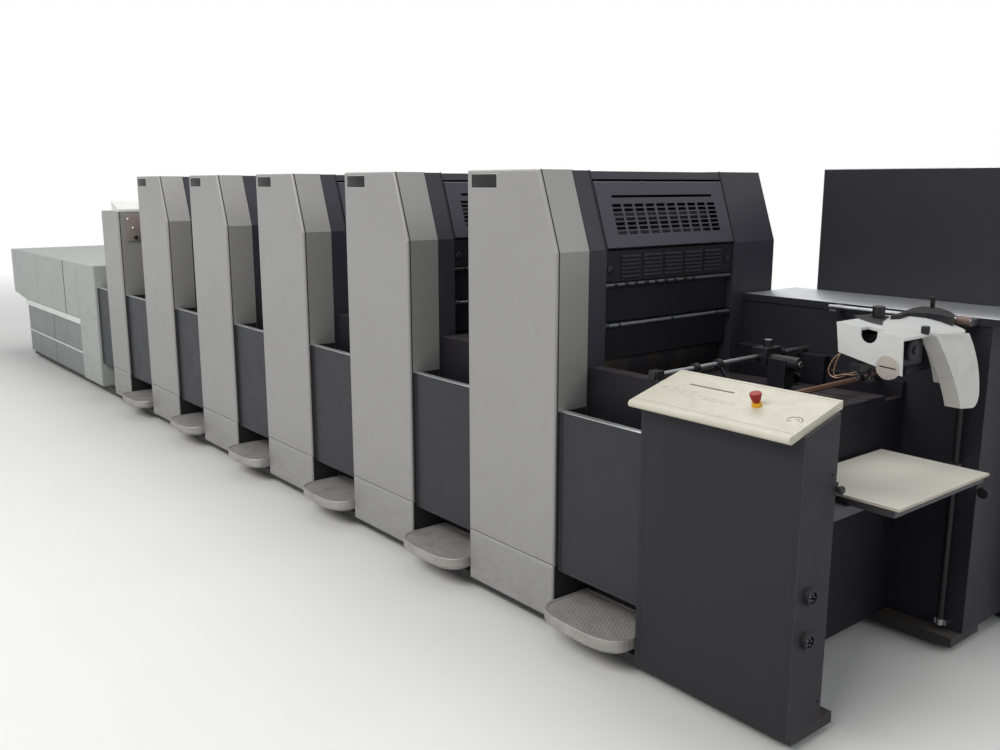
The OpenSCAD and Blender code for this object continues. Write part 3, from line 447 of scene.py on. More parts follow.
CYLINDER_STEEL = ground_steel("cylinder_steel", srgb(54, 54, 58), 0.5, (6.0, 300.0, 6.0), oil=0.6)
ROD_STEEL = ground_steel("rod_steel", srgb(112, 112, 116), 0.42, (6.0, 300.0, 6.0), oil=0.5)
# Black of the seams, also laid as painted shade in gaps, in slots and on shaded sides.
SEAM_AND_SHADE_BLACK = sprayed_paint("seam_and_shade_black", srgb(24, 23, 25), 0.7, wear=0.0, scuffs=0.0, dust=0.2)
# Black plastic of knobs and plates, also used as the painted shade of the slit on the head's disc.
BLACK_PLASTIC_AND_SHADE = moulded_plastic("black_plastic_and_shade", srgb(24, 23, 24), 0.42, scale=900.0, dust=0.1, shine=0.35)
SEAM_AND_SHADE = {"slot": "black_steel", "material": SEAM_AND_SHADE_BLACK}
PLASTIC_AND_SHADE = {"slot": "black_steel", "material": BLACK_PLASTIC_AND_SHADE}
SHAFT_COPPER = ground_steel("shaft_copper", srgb(142, 112, 94), 0.4, (300.0, 8.0, 300.0), oil=0.3)
ROLLER_BROWN = rubber("roller_brown", srgb(122, 100, 90), 0.55)
CONSOLE_METAL = sprayed_paint("console_metal", srgb(150, 136, 132), 0.36, metallic=0.4, wear=0.2, scuffs=0.0)
DISC_METAL = ground_steel("disc_metal", srgb(200, 192, 184), 0.42, (7.0, 7.0, 280.0), oil=0.1)
LEDGE_WHITE = sprayed_paint("ledge_white", srgb(226, 228, 225), 0.35, deep=0.97, wear=0.3, scuffs=0.2)
DOOR_PAINT = sprayed_paint("door_paint", srgb(126, 131, 128), 0.42, deep=0.95, worn=BARE_METAL, wear=0.3)


def lit_lamp(name, colour, strength):
    """Small lens with a glow behind its ribbed face."""
    g = Finish(name)
    ribs = g.noise(g.stretched(g.place, (900.0, 900.0, 900.0)), 1.0, 2.0)
    bump = g.put("ShaderNodeBump", {"Strength": 0.6, "Distance": 0.0003, "Height": ribs}).outputs[0]
    glow = g.tinted(g.spread(ribs, 0.3, 0.7), colour, shaded(colour, 0.7))
    return g.close(g.put("ShaderNodeBsdfPrincipled", {"Base Color": glow, "Roughness": 0.15, "Normal": bump,
                                                      "Emission Color": glow, "Emission Strength": strength}))


LAMP_CLEAR = lit_lamp("lamp_clear", srgb(236, 238, 236), 0.25)

for row in frame["record"]["subparts"]:
    NODES[row["node"]].data.materials.clear()
    NODES[row["node"]].data.materials.append(MATERIALS[row["material_slot"]])
for node, material in (("steel_cylinders", CYLINDER_STEEL), ("guard_rods", ROD_STEEL),
                       ("delivery_doors", DOOR_PAINT), ("delivery_ledges", LEDGE_WHITE)):
    NODES[node].data.materials[0] = material


# Shapes

class Shape:
    """Solids collected in one mesh, in the machine's frame or in a frame of their own."""

    def __init__(self, place=None):
        self.mesh = bmesh.new()
        self.place = place or Matrix.Identity(4)

    def box(self, low, high, bevel=0.0):
        low, high = Vector(low), Vector(high)
        matrix = self.place @ Matrix.Translation((low + high) / 2) @ Matrix.Diagonal((*(high - low), 1.0))
        corners = bmesh.ops.create_cube(self.mesh, size=1.0, matrix=matrix)["verts"]
        if bevel:
            edges = list(dict.fromkeys(edge for corner in corners for edge in corner.link_edges))
            bmesh.ops.bevel(self.mesh, geom=edges, offset=bevel, segments=2, affect="EDGES", profile=0.5)
        return self

    def skin(self, rings, capped=True):
        """Faces between rings of points. A ring of one point is a tip."""
        for lower, upper in zip(rings, rings[1:]):
            count = max(len(lower), len(upper))
            for k in range(count):
                corners = [lower[k % len(lower)], lower[(k + 1) % len(lower)],
                           upper[(k + 1) % len(upper)], upper[k % len(upper)]]
                corners = list(dict.fromkeys(corners))
                if len(corners) > 2:
                    self.mesh.faces.new(corners)
        for ring in (rings[0], rings[-1]):
            if capped and len(ring) > 2:
                self.mesh.faces.new(ring)
        return self

    def turned(self, outline, base, axis=Z, segments=24, hollow=False):
        """Turned form from points of radius and height along the axis. A hollow one has a closed outline."""
        upright = Vector(axis).to_track_quat("Z", "Y").to_matrix().to_4x4()
        turn = self.place @ Matrix.Translation(base) @ upright
        rings = []
        for radius, height in outline:
            angles = [2 * math.pi * k / segments for k in range(segments)] if radius > 1e-6 else [0.0]
            points = [Vector((radius * math.cos(a), radius * math.sin(a), height)) for a in angles]
            rings.append([self.mesh.verts.new(turn @ point) for point in points])
        return self.skin(rings + rings[:1], False) if hollow else self.skin(rings)

    def rod(self, start, end, radius, chamfer=0.0005, segments=24):
        start, end = Vector(start), Vector(end)
        length = (end - start).length
        inner = radius - chamfer
        outline = [(inner, 0), (radius, chamfer), (radius, length - chamfer), (inner, length)]
        return self.turned(outline, start, end - start, segments)

    def prism(self, outline, start, end, axis):
        """An outline drawn out along an axis. Its points give the other two places in order."""
        rings = []
        for level in (start, end):
            ring = []
            for point in outline:
                place = list(point)
                place.insert("xyz".index(axis), level)
                ring.append(self.mesh.verts.new(self.place @ Vector(place)))
            rings.append(ring)
        return self.skin(rings)

    def tube(self, route, radius, segments=10):
        """Round tube along the points of a route, with smooth bends between them."""
        points = smooth_route([Vector(point) for point in route])
        last = len(points) - 1
        ahead = [(points[min(k + 1, last)] - points[max(k - 1, 0)]).normalized() for k in range(last + 1)]
        side = ahead[0].orthogonal().normalized()
        rings = []
        for point, way in zip(points, ahead):
            side = (side - way * side.dot(way)).normalized()
            up = way.cross(side)
            ring = []
            for k in range(segments):
                a = 2 * math.pi * k / segments
                out = (side * math.cos(a) + up * math.sin(a)) * radius
                ring.append(self.mesh.verts.new(self.place @ (point + out)))
            rings.append(ring)
        return self.skin(rings)

    def piece(self, name, slot, body="press", material=None, angle=35.0):
        """Makes an object that rides on a body, with a slot's finish or a material of its own."""
        bmesh.ops.recalc_face_normals(self.mesh, faces=self.mesh.faces)
        mesh = bpy.data.meshes.new(name)
        self.mesh.to_mesh(mesh)
        self.mesh.free()
        mesh.shade_smooth()
        mesh.set_sharp_from_angle(angle=math.radians(angle))
        mesh.materials.append(material or MATERIALS[slot])
        made = bpy.data.objects.new(name, mesh)
        bpy.context.scene.collection.objects.link(made)
        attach(made, body)
        return made


def smooth_route(points, steps=6):
    """Points of a smooth curve through the given ones."""
    route = []
    last = len(points) - 1
    for k in range(last):
        before, start, end, after = points[max(k - 1, 0)], points[k], points[k + 1], points[min(k + 2, last)]
        for step in range(steps):
            t = step / steps
            bend = 2 * before - 5 * start + 4 * end - after
            twist = 3 * start - before - 3 * end + after
            route.append(0.5 * (2 * start + (end - before) * t + bend * t ** 2 + twist * t ** 3))
    return route + [points[-1]]


def strip_piece(name, low, high, slot, bevel=0.0, place=None, **finish):
    """One straight strip or plate as a piece of its own."""
    Shape(place).box(low, high, bevel).piece(name, slot, **finish)


def screw(shape, place, axis, radius=0.005):
    """Head of a screw with its round socket."""
    r = radius
    outline = [(0, -r), (r, -r), (r, r * 0.4), (r * 0.85, r * 0.6), (r * 0.5, r * 0.6), (r * 0.42, 0), (0, 0)]
    shape.turned(outline, place, axis, 12)


def knob(shape, base, axis, radius, height):
    """Round knob with a waist and a crowned top."""
    r, h = radius, height
    shape.turned([(0, 0), (r * 0.6, 0), (r * 0.5, h * 0.3), (r * 0.9, h * 0.42), (r, h * 0.55), (r, h * 0.8),
                  (r * 0.8, h * 0.96), (0, h)], base, axis)


def unit_outline(face, proud):
    """Side outline of a unit in x and z above its kick panel, with the bend of its leaning face."""
    low = KICK_Z[1]
    return [(face - UNIT_W - proud, low), (face + proud, low), (face + proud, KNEE_Z),
            (face - LEAN_RUN + proud, UNIT_TOP + proud), (face - UNIT_W - proud, UNIT_TOP + proud)]


def tower_outline(proud):
    """Side outline of the delivery tower in x and z above its kick panel."""
    low, high = TOWER
    x0, x1, top = low.x - proud, high.x + proud, high.z + proud
    return [(x0, KICK_Z[1]), (x1, KICK_Z[1]), (x1, top), (x0, top)]


def guard_place(i):
    """Frame of a guard: its hinge at the origin, its outer face towards +x, hanging towards -z."""
    joint = next(j for j in frame["joints"] if j["name"] == f"guard_{i}_hinge")
    return Matrix.Translation(joint["pos_m"]) @ Matrix.Rotation(-LEAN, 4, "Y")


def desk_place(x, y):
    """Frame on the tilted desk top, z out of the desk."""
    z = DESK[1].z - (DESK[1].y - y) * math.tan(DESK_TILT)
    return Matrix.Translation((x, y, z)) @ Matrix.Rotation(DESK_TILT, 4, "X")


# Pieces of the printing units

EDGE_R = 0.010  # rounding of the covers' front edges
SEAM_W = 0.005
SEAM_START = FRONT_Y + EDGE_R + 0.001
PLATE_W = 0.142
PLATE_H = 0.047
BEHIND = 0.001  # how far a strip or knob reaches into the face that carries it


def cover_seams(name, outline):
    """Dark seam behind the rounded front of a cover and the gasket at its back, along its outline."""
    seams = Shape()
    seams.prism(outline(0.0004), SEAM_START, SEAM_START + SEAM_W, "y")
    seams.prism(outline(-0.0006), COVER_Y - BEHIND, COVER_Y + 0.004, "y")
    seams.piece(name, **SEAM_AND_SHADE)


def kick_strip(name, start, end):
    """Bright line in the joint between a cover and its kick panel."""
    inset, proud = 0.004, 0.0002
    low = (start + inset, FRONT_Y + 0.003, KICK_Z[0] - proud)
    high = (end - inset, COVER_Y - 0.01, KICK_Z[1] + proud)
    strip_piece(name, low, high, "bright_trim")


def cover_pieces(i, face):
    """Dark bare plate with its light rim, the cover's seams and kick strip, the seams beside the guard."""
    left, top, rim = face - UNIT_W + 0.030, UNIT_TOP - 0.014, 0.0016
    right, low = left + PLATE_W, top - PLATE_H
    strip_piece(f"cover_plate_rim_{i}", (left - rim, FRONT_Y - 0.0009, low - rim),
                (right + rim, FRONT_Y + 0.002, top + rim), "bright_trim", 0.0005)
    strip_piece(f"cover_plate_{i}", (left, FRONT_Y - 0.0016, low), (right, FRONT_Y + BEHIND, top),
                bevel=0.0004, **PLASTIC_AND_SHADE)
    cover_seams(f"cover_seams_{i}", lambda proud: unit_outline(face, proud))
    kick_strip(f"kick_strip_{i}", face - UNIT_W, face)
    bay = Shape()
    width, depth, proud, top = 0.0035, 0.002, 0.0004, UNIT_TOP + 0.0003
    for y in (BAY_Y[0] - width, BAY_Y[1]):
        bay.prism([(face - depth, KNEE_Z), (face + proud, KNEE_Z), (face - LEAN_RUN + proud, top),
                   (face - LEAN_RUN - depth, top)], y, y + width, "y")
    bay.piece(f"bay_seams_{i}", **SEAM_AND_SHADE)


def guard_pieces(i):
    """Collars round the hinge and the small stops at the guard's lower corners."""
    half = (BAY_Y[1] - BAY_Y[0]) / 2 - 0.006
    collars = Shape(guard_place(i))
    for y in (-half + 0.004, -0.11, 0.11, half - 0.024):
        collars.rod((0, y, 0), (0, y + 0.020, 0), GUARD_FACE + 0.0007)
    for y in (-half + 0.018, half - 0.026):
        collars.box((-0.004, y, -GUARD_LEN + 0.003), (0.0055, y + 0.008, -GUARD_LEN + 0.012), 0.0008)
    collars.piece(f"guard_collars_{i}", "guard_paint", f"guard_{i}")


# Side outline of a pressed blade: how far out of the panel, and how far above the slot's top
BLADE = [(-0.001, -0.0006), (-0.001, 0.0012), (0.003, -0.0004), (0.0052, -0.004), (0.0056, -0.0066),
         (0.0046, -0.0066), (0.0036, -0.0035)]


def louvre_pieces(i, face):
    """Pressed blades over the slots, with the panel's lock and its small knob."""
    out, low = face + LOUVRE[0], LOUVRE[1]
    columns, rows, pitch, row_h, slot_h, half = 5, 6, 0.112, 0.014, 0.006, 0.0475
    blades = Shape()
    for column in range(columns):
        for row in range(rows):
            y = BAY_MIDDLE + (column - (columns - 1) / 2) * pitch
            z = low + (row + 1) * row_h + slot_h
            blades.prism([(out + x, z + up) for x, up in BLADE], y - half, y + half, "y")
    blades.piece(f"louvre_blades_{i}", "dark_paint")
    locks = Shape()
    locks.turned([(0, 0), (0.013, 0), (0.014, 0.003), (0.012, 0.006), (0.008, 0.007), (0, 0.0072)],
                 (out - BEHIND, across(-0.334), 1.28), X)
    knob(locks, (out - BEHIND, across(0.300), 1.29), X, 0.011, 0.008)
    locks.piece(f"louvre_locks_{i}", **PLASTIC_AND_SHADE)


def rod_pieces(i, face):
    """Clamp rings on the two rods, and the brackets that hold the lower one, with their screws."""
    near, far = BAY_Y
    rings = Shape()
    x, z = face + ROD_HIGH[0], ROD_HIGH[1]
    for k in range(9):
        y = near + 0.05 + k * 0.052
        rings.rod((x, y, z), (x, y + 0.016 + 0.006 * (k % 2), z), 0.0105)
    x, z = face + ROD_LOW[0], ROD_LOW[1]
    for y in (near + 0.07, BAY_MIDDLE, far - 0.09):
        rings.rod((x, y, z), (x, y + 0.012, z), 0.0095)
    rings.piece(f"rod_rings_{i}", "black_steel")
    thick = 0.006
    brackets = Shape()
    brackets.box((x - 0.017, near, z - 0.030), (x + 0.010, near + thick, z + 0.018), 0.001)
    brackets.rod((x, near + 0.004, z), (x, near + 0.022, z), 0.012)
    brackets.box((x - 0.017, far - thick, z - 0.020), (x + 0.010, far, z + 0.018), 0.001)
    brackets.piece(f"rod_brackets_{i}", "black_steel")
    screws = Shape()
    for y, way in ((near + thick, Y), (far - thick, -Y)):
        screw(screws, (x - 0.008, y, z - 0.015), way, 0.003)
    screws.piece(f"rod_bracket_screws_{i}", "bright_steel")


def drive_pieces(i, face):
    """Door of the drive side: raised sheet with its seam, two locks and a sunk grip."""
    x0, x1 = face - UNIT_W + 0.030, face - 0.030
    z0, z1 = KICK_Z[1] + 0.040, KNEE_Z - 0.030
    seam = 0.003
    strip_piece(f"drive_door_{i}", (x0, DRIVE_Y - BEHIND, z0), (x1, DRIVE_Y + 0.003, z1),
                "inner_paint", 0.0012)
    dark = Shape()
    dark.box((x0 - seam, DRIVE_Y - BEHIND, z0 - seam), (x1 + seam, DRIVE_Y + 0.0005, z1 + seam))
    grip = [(0, -0.004), (0.017, -0.004), (0.017, 0.0036), (0.012, 0.0036), (0.011, 0.0032), (0, 0.0032)]
    dark.turned(grip, (x1 - 0.040, DRIVE_Y, (z0 + z1) / 2), Y)
    dark.piece(f"drive_door_seam_{i}", **SEAM_AND_SHADE)
    locks = Shape()
    for z in (z0 + 0.09, z1 - 0.09):
        locks.turned([(0, 0), (0.009, 0), (0.009, 0.0040), (0.008, 0.0048), (0.003, 0.0048), (0.003, 0.0036),
                      (0, 0.0036)], (x1 - 0.025, DRIVE_Y, z), Y, 16)
    locks.piece(f"drive_door_locks_{i}", "bright_steel")


for number, face in enumerate(UNIT_FACES, 1):
    cover_pieces(number, face)
    guard_pieces(number)
    louvre_pieces(number, face)
    rod_pieces(number, face)
    drive_pieces(number, face)


# Panels and steps between the units

STEP_SIDE = 0.010
STEP_BULGE = 0.67


def panel_pieces(k, low, high):
    """Raised frame of a panel, its bright top edge, and black painted shade in the gap beside it and on the
    cover's side.
    """
    x0, x1 = low + 0.001, high - 0.001
    z0, z1, y = PANEL[0].z, PANEL[1].z, PANEL[0].y
    band, proud = 0.006, 0.0012
    rim = Shape()
    for a, b in (((x0, z0), (x1, z0 + band)), ((x0, z1 - band), (x1, z1)),
                 ((x0, z0 + band), (x0 + band, z1 - band)), ((x1 - band, z0 + band), (x1, z1 - band))):
        rim.box((a[0], y - proud, a[1]), (b[0], y + BEHIND, b[1]), 0.0005)
    rim.piece(f"panel_frame_{k}", "panel_paint")
    # Painted shadow: a black strip on the panel's low end stands for the shade in the gap beside it.
    slot = Shape()
    slot.box((x0, y - proud - 0.0003, z0 + band), (x0 + 0.016, y + BEHIND, z1 - band))
    # Painted shade: black sheets on the cover's side face, beside the panel and below the kick panel.
    if COVERS[-1][0].x < low:
        start, end, inner = low - BEHIND, low + 0.0006, COVER_Y - 0.002
        slot.box((start, FRONT_Y + 0.017, z0 + 0.002), (end, inner, z1 - 0.002))
        slot.box((start, FRONT_Y + 0.008, COVERS[-1][0].z + 0.002), (end, inner, KICK_Z[0]))
    slot.piece(f"panel_painted_shade_{k}", "dark_paint", material=SEAM_AND_SHADE_BLACK)
    strip_piece(f"panel_edge_{k}", (x0, y - proud - 0.0006, z1 - 0.0012), (x1, PANEL[1].y, z1 + 0.0012),
                "bright_trim", 0.0005)


def step_pieces(k, low, high):
    """Bright rim along the curved front of a step, and the domes on its tread."""
    middle, half = (low + high) / 2, (high - low) / 2 - 0.010
    base, top = FRONT_Y + STEP_SIDE, STEPS[1].z
    depth = base - STEPS[0].y
    rim = Shape()
    rim.tube([(middle + (half - 0.0012) * math.copysign(abs(math.cos(a)) ** STEP_BULGE, math.cos(a)),
               base - (depth - 0.0018) * math.sin(a) ** STEP_BULGE, top - 0.0006)
              for a in [math.pi * n / 24 for n in range(1, 24)]], 0.0016, 8)
    rim.piece(f"step_rim_{k}", "bright_trim")
    dome = [(0.0030, -0.0005), (0.0026, 0.0005), (0.0015, 0.0010), (0, 0.0011)]
    rows, columns, pitch, margin = 19, 13, 0.015, 0.014
    domes = Shape()
    for row in range(rows):
        y = STEPS[0].y + 0.018 + row * pitch * 0.87
        for column in range(-columns, columns + 1):
            x = (column + 0.5 * (row % 2)) * pitch
            forward = max(0.0, base - y) / (depth - margin)
            if (abs(x) / (half - margin)) ** (2 / STEP_BULGE) + forward ** (2 / STEP_BULGE) < 1:
                domes.turned(dome, (middle + x, y, top - 0.003), Z, 8)
    domes.piece(f"step_domes_{k}", "step_tread", angle=60.0)


for number, gap in enumerate(PANEL_GAPS, 1):
    panel_pieces(number, *gap)
for number, gap in enumerate(STEP_GAPS, 1):
    step_pieces(number, *gap)


# Delivery

def console_pieces():
    """Control plate of the console, with two lamps in their rings and a knob."""
    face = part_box("delivery_console")[1].x
    strip_piece("console_plate", (face - 0.009, FRONT_Y + 0.053, 1.188),
                (face + 0.001, FRONT_Y + 0.302, 1.367), "bright_steel", 0.0008, material=CONSOLE_METAL)
    face += 0.001
    lens = [(0.006, -0.002), (0.006, 0.003), (0.004, 0.0055), (0, 0.0065)]
    ring = [(0.006, -0.001), (0.0095, -0.001), (0.0095, 0.0015), (0.008, 0.0025), (0.006, 0.0025)]
    lenses, rings = Shape(), Shape()
    for y, z in ((-0.532, 1.338), (-0.500, 1.277)):
        lenses.turned(lens, (face, across(y), z), X, 16)
        rings.turned(ring, (face, across(y), z), X, 20, hollow=True)
    lenses.piece("console_lamps", "console_plastic", material=LAMP_CLEAR)
    rings.piece("console_rings", "bright_steel")
    turn = Shape()
    knob(turn, (face, across(-0.487), 1.212), X, 0.014, 0.02)
    turn.piece("console_knob", **PLASTIC_AND_SHADE)


def hood_pieces():
    """Dark seams between two sections of the hood and between the lower doors."""
    seams = Shape()
    half, proud, low_z = 0.0026, 0.0004, 0.536
    low, high = HOOD
    x = low.x + 1.7305
    seams.box((x - half, low.y - proud, low_z), (x + half, low.y + 0.016, high.z - 0.006))
    seams.box((x - half, low.y + 0.006, high.z - 0.016), (x + half, high.y - 0.006, high.z - 0.0002))
    seams.box((x - half, high.y - 0.016, low_z), (x + half, high.y, high.z - 0.006))
    low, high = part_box("delivery_doors")
    middle = (low.x + high.x) / 2
    for y in (low.y - proud, high.y - 0.010):
        seams.box((middle - 0.004, y, low.z + 0.002), (middle + 0.004, y + 0.010 + proud, high.z - 0.002))
    seams.piece("hood_seams", **SEAM_AND_SHADE)


cover_seams("tower_seams", tower_outline)
console_pieces()
kick_strip("tower_kick_strip", TOWER[0].x, TOWER[1].x)
hood_pieces()


# Feeder

# Worn marks on the desk: place along it, place behind the slot, length and depth
DESK_MARKS = [(0.030 + 0.036 * k, -0.046 + 0.004 * (k % 2), 0.018, 0.0016) for k in range(4)] + \
             [(0.034 + 0.036 * k, -0.056 - 0.003 * (k % 3), 0.010, 0.0014) for k in range(5)] + \
             [(0.196 + 0.030 * k, -0.060, 0.022, 0.0014) for k in range(4)] + \
             [(0.196 + 0.030 * k, -0.072, 0.022, 0.0014) for k in range(4)]
# Colour of the worn marks, also laid as painted shade along the desk's creases.
DESK_MARK_AND_CREASE_SHADE = moulded_plastic("desk_mark_and_crease_shade", srgb(138, 130, 112), 0.5)
DIAL_MARK = moulded_plastic("dial_mark", srgb(96, 92, 84), 0.5)
RAIL_Z = 1.140
HEAD_BODY = "suction_head"
HEAD_TOP = 1.166
HEAD_START = 4.048
HEAD_RUN = 0.217
HEAD_DROP = 0.024
# Knobs on the head's top: place, distance from the centre line, radius, height and radius of the bright rim
HEAD_KNOBS = [(4.068, 0.060, 0.019, 0.036, 0.0165), (4.258, -0.012, 0.0125, 0.022, 0.0105)]
PILE_COLUMN_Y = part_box("feeder_drive_cabinet")[0].y


def desk_pieces():
    """Black strip in the slot and darker lines along the desk's creases as painted shade, its worn marks and its
    dial mark.
    """
    place = desk_place(0, DESK[1].y - 0.075)
    x0, x1 = CABINET[0].x + 0.096, CABINET[0].x + 0.259
    # Painted shade: a black strip in the bottom of the slot.
    strip_piece("desk_slot_shade", (x0 + 0.0005, -0.0037, -0.0079), (x1 - 0.0005, 0.0037, -0.003),
                place=place, **SEAM_AND_SHADE)
    # Painted shade: darker lines along the desk's creases.
    creases = Shape(place)
    for depth in (-0.147, 0.066):
        creases.box((DESK[0].x + 0.003, depth, -0.0010), (DESK[1].x - 0.003, depth + 0.0012, 0.0002))
    creases.piece("desk_crease_shade", "desk_plastic", material=DESK_MARK_AND_CREASE_SHADE)
    marks = Shape(place)
    for x, y, length, depth in DESK_MARKS:
        marks.box((CABINET[0].x + x, y, -0.0005), (CABINET[0].x + x + length, y + 1.3 * depth, 0.0002))
    marks.piece("desk_marks", "desk_plastic", material=DESK_MARK_AND_CREASE_SHADE)
    dial = Shape(desk_place(CABINET[1].x - 0.071, FRONT_Y + 0.030))
    arc = [math.radians(-10 + 19 * k) for k in range(11)]
    dial.tube([(0.022 * math.cos(a), 0.020 * math.sin(a), 0) for a in arc], 0.0013, 6)
    dial.tube([(0.013 * math.cos(a), 0.011 * math.sin(a) - 0.001, 0) for a in arc[:7]], 0.0009, 6)
    dial.rod((-0.020, -0.009, 0), (-0.006, -0.006, 0), 0.0010, 0.0002, 6)
    dial.piece("desk_dial_mark", "black_steel", material=DIAL_MARK)


def button_pieces():
    """Grip ribs round the stop button."""
    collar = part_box("stop_collar")
    middle = (collar[0] + collar[1]) / 2
    count = 18
    ribs = Shape(desk_place(middle.x, FRONT_Y + 0.062))
    for k in range(count):
        a = 2 * math.pi * k / count
        way = Vector((math.cos(a), math.sin(a), 0))
        ribs.rod(way * 0.0120 + Z * 0.0185, way * 0.0167 + Z * 0.0365, 0.0009, 0.0003, 6)
    ribs.piece("stop_button_ribs", "red_plastic", "stop_button")


def cabinet_pieces():
    """Pins of the two sockets, the cabinet's door seam and its screws."""
    face = CABINET[1].x - 0.014
    pins = Shape()
    for z in (0.339, 0.469):
        for k in range(5):
            a = 2 * math.pi * k / 5
            y, up = FRONT_Y + 0.064 + 0.010 * math.cos(a), z + 0.010 * math.sin(a)
            pins.rod((face + 0.004, y, up), (face + 0.011, y, up), 0.0018, 0.0004, 8)
    pins.piece("socket_pins", "bright_steel")
    seams = Shape()
    x0, x1 = CABINET[0].x + 0.018, face - 0.018
    z0, z1, seam = 0.085, 0.885, 0.002
    for a, b in (((x0, z0), (x1, z0 + seam)), ((x0, z1), (x1, z1 + seam)),
                 ((x0, z0), (x0 + seam, z1)), ((x1, z0), (x1 + seam, z1))):
        seams.box((a[0], FRONT_Y - 0.0003, a[1]), (b[0], FRONT_Y + 0.002, b[1]))
    seams.piece("cabinet_door_seam", **SEAM_AND_SHADE)
    screws = Shape()
    for z in (0.13, 0.80):
        screw(screws, (face, FRONT_Y + 0.14, z), X, 0.004)
    screws.piece("cabinet_screws", **PLASTIC_AND_SHADE)


def ledge_pieces():
    """Bright sheet on the ledge of the drive side."""
    low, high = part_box("feeder_drive_cabinet")
    strip_piece("ledge_plate", (low.x + 0.004, low.y + 0.002, high.z - 0.0005),
                (high.x - 0.002, high.y - 0.004, high.z + 0.0014), "bright_trim", 0.0006)


def head_z(x):
    """Height of the suction head's sloping top."""
    return HEAD_TOP - HEAD_DROP * (x - HEAD_START) / HEAD_RUN


def head_knob(shape, base, radius, height):
    """Plain black knob with a chamfered rim and a shallow dish in its top."""
    shape.turned([(0, -0.002), (radius * 0.86, -0.002), (radius * 0.86, 0.002), (radius, 0.004),
                  (radius, height - 0.002), (radius - 0.002, height), (radius * 0.7, height),
                  (radius * 0.6, height - 0.001), (0, height - 0.001)], base, Z, 32)


def head_knob_pieces():
    """Knobs of the suction head, the bright rims of the two on its top, the dark plate beside the first."""
    knobs = Shape()
    for x, y, radius, height, _ in HEAD_KNOBS:
        head_knob(knobs, (x, across(y), head_z(x)), radius, height)
    head_knob(knobs, (4.087, across(0.360), RAIL_Z + 0.032), 0.0075, 0.038)
    knobs.piece("head_knobs", body=HEAD_BODY, **PLASTIC_AND_SHADE)
    tops = Shape()
    for x, y, _, height, rim in HEAD_KNOBS:
        tops.turned([(rim - 0.002, -0.0012), (rim, -0.0012), (rim, 0.0004), (rim - 0.002, 0.0006)],
                    (x, across(y), head_z(x) + height), Z, 32, hollow=True)
    tops.piece("head_knob_rims", "bright_steel", HEAD_BODY)
    slope = Matrix.Rotation(math.atan2(HEAD_DROP, HEAD_RUN), 4, "Y")
    plate = Shape(Matrix.Translation((HEAD_START, across(0.0), HEAD_TOP)) @ slope)
    plate.prism([(-0.028, -0.002), (0.004, -0.026), (0.058, -0.044), (0.092, -0.042), (0.060, 0.020),
                 (0.030, 0.112), (-0.018, 0.090)], -0.0060, 0.0014, "z")
    plate.piece("head_knob_plate", "black_steel", HEAD_BODY)


def head_works_pieces():
    """Drum and valve block under the head's covers, and a dark box as painted shade inside the housing."""
    drum_and_shade = Shape()
    y, z = across(-0.060), 1.098
    # Painted shade: the dark box fills the housing's open end, and the dark paint of the turned parts darkens it
    # too.
    drum_and_shade.box((4.196, across(-0.134), 1.050), (4.236, across(0.024), 1.133), 0.002)
    drum_and_shade.rod((4.200, y, z), (4.256, y, z), 0.033, 0.004, 40)
    drum_and_shade.rod((4.200, y, z), (4.262, y, z), 0.012, 0.002)
    drum_and_shade.piece("head_inner_drum_and_shade", "dark_paint", HEAD_BODY)
    valve = Shape()
    valve.box((4.086, across(0.034), 1.004), (4.186, across(0.200), 1.118), 0.003)
    valve.box((4.184, across(0.046), 1.016), (4.190, across(0.188), 1.106), 0.0015)
    for y in (0.056, 0.178):
        for z in (1.026, 1.096):
            screw(valve, (4.190, across(y), z), X, 0.004)
    valve.rod((4.120, across(0.117), 0.992), (4.120, across(0.117), 1.006), 0.030, 0.002, 32)
    valve.piece("head_valve_block", "dark_paint", HEAD_BODY)


def head_disc_pieces():
    """Bare round plate on the head's front, with a black bar on it as the painted shade of a plain slit."""
    place = (HEAD_START + HEAD_RUN - 0.044, HEAD[0].y, 1.052)
    outline = [(0, -0.001), (0.0352, -0.001), (0.0352, 0.0004), (0.0345, 0.0010), (0, 0.0010)]
    disc = Shape()
    disc.turned(outline, place, -Y, 48)
    disc.piece("head_disc", "head_cover", HEAD_BODY, DISC_METAL)
    # Painted shade: a black bar stands for the dark inside of the slit.
    strip_piece("head_disc_slit_shade", (-0.025, -0.0014, -0.0020), (0.027, 0.0005, 0.0020), bevel=0.0004,
                place=Matrix.Translation(place) @ Matrix.Rotation(math.radians(4.0), 4, "Y"),
                body=HEAD_BODY, **PLASTIC_AND_SHADE)


# Outline of the dark cover on the head's arm, seen from above
ARM_COVER = [(4.102, 0.070), (4.077, 0.188), (4.050, 0.300), (4.046, 0.372), (4.101, 0.378), (4.168, 0.316),
             (4.218, 0.245), (4.244, 0.182), (4.228, 0.192), (4.190, 0.212), (4.140, 0.219), (4.100, 0.190),
             (4.112, 0.110)]
# Route of an air pipe: place after its start, distance from the centre line, height, and 1 where it is bowed
AIR_PIPE = [(0.000, -0.080, 1.072, 1), (-0.030, -0.090, 1.048, 1), (-0.046, -0.095, 1.014, 0),
            (-0.040, -0.095, 0.992, 0), (-0.014, -0.092, 0.986, 1), (0.020, -0.090, 1.003, 0),
            (0.048, -0.088, 1.016, 0), (0.062, -0.086, 1.034, 0)]


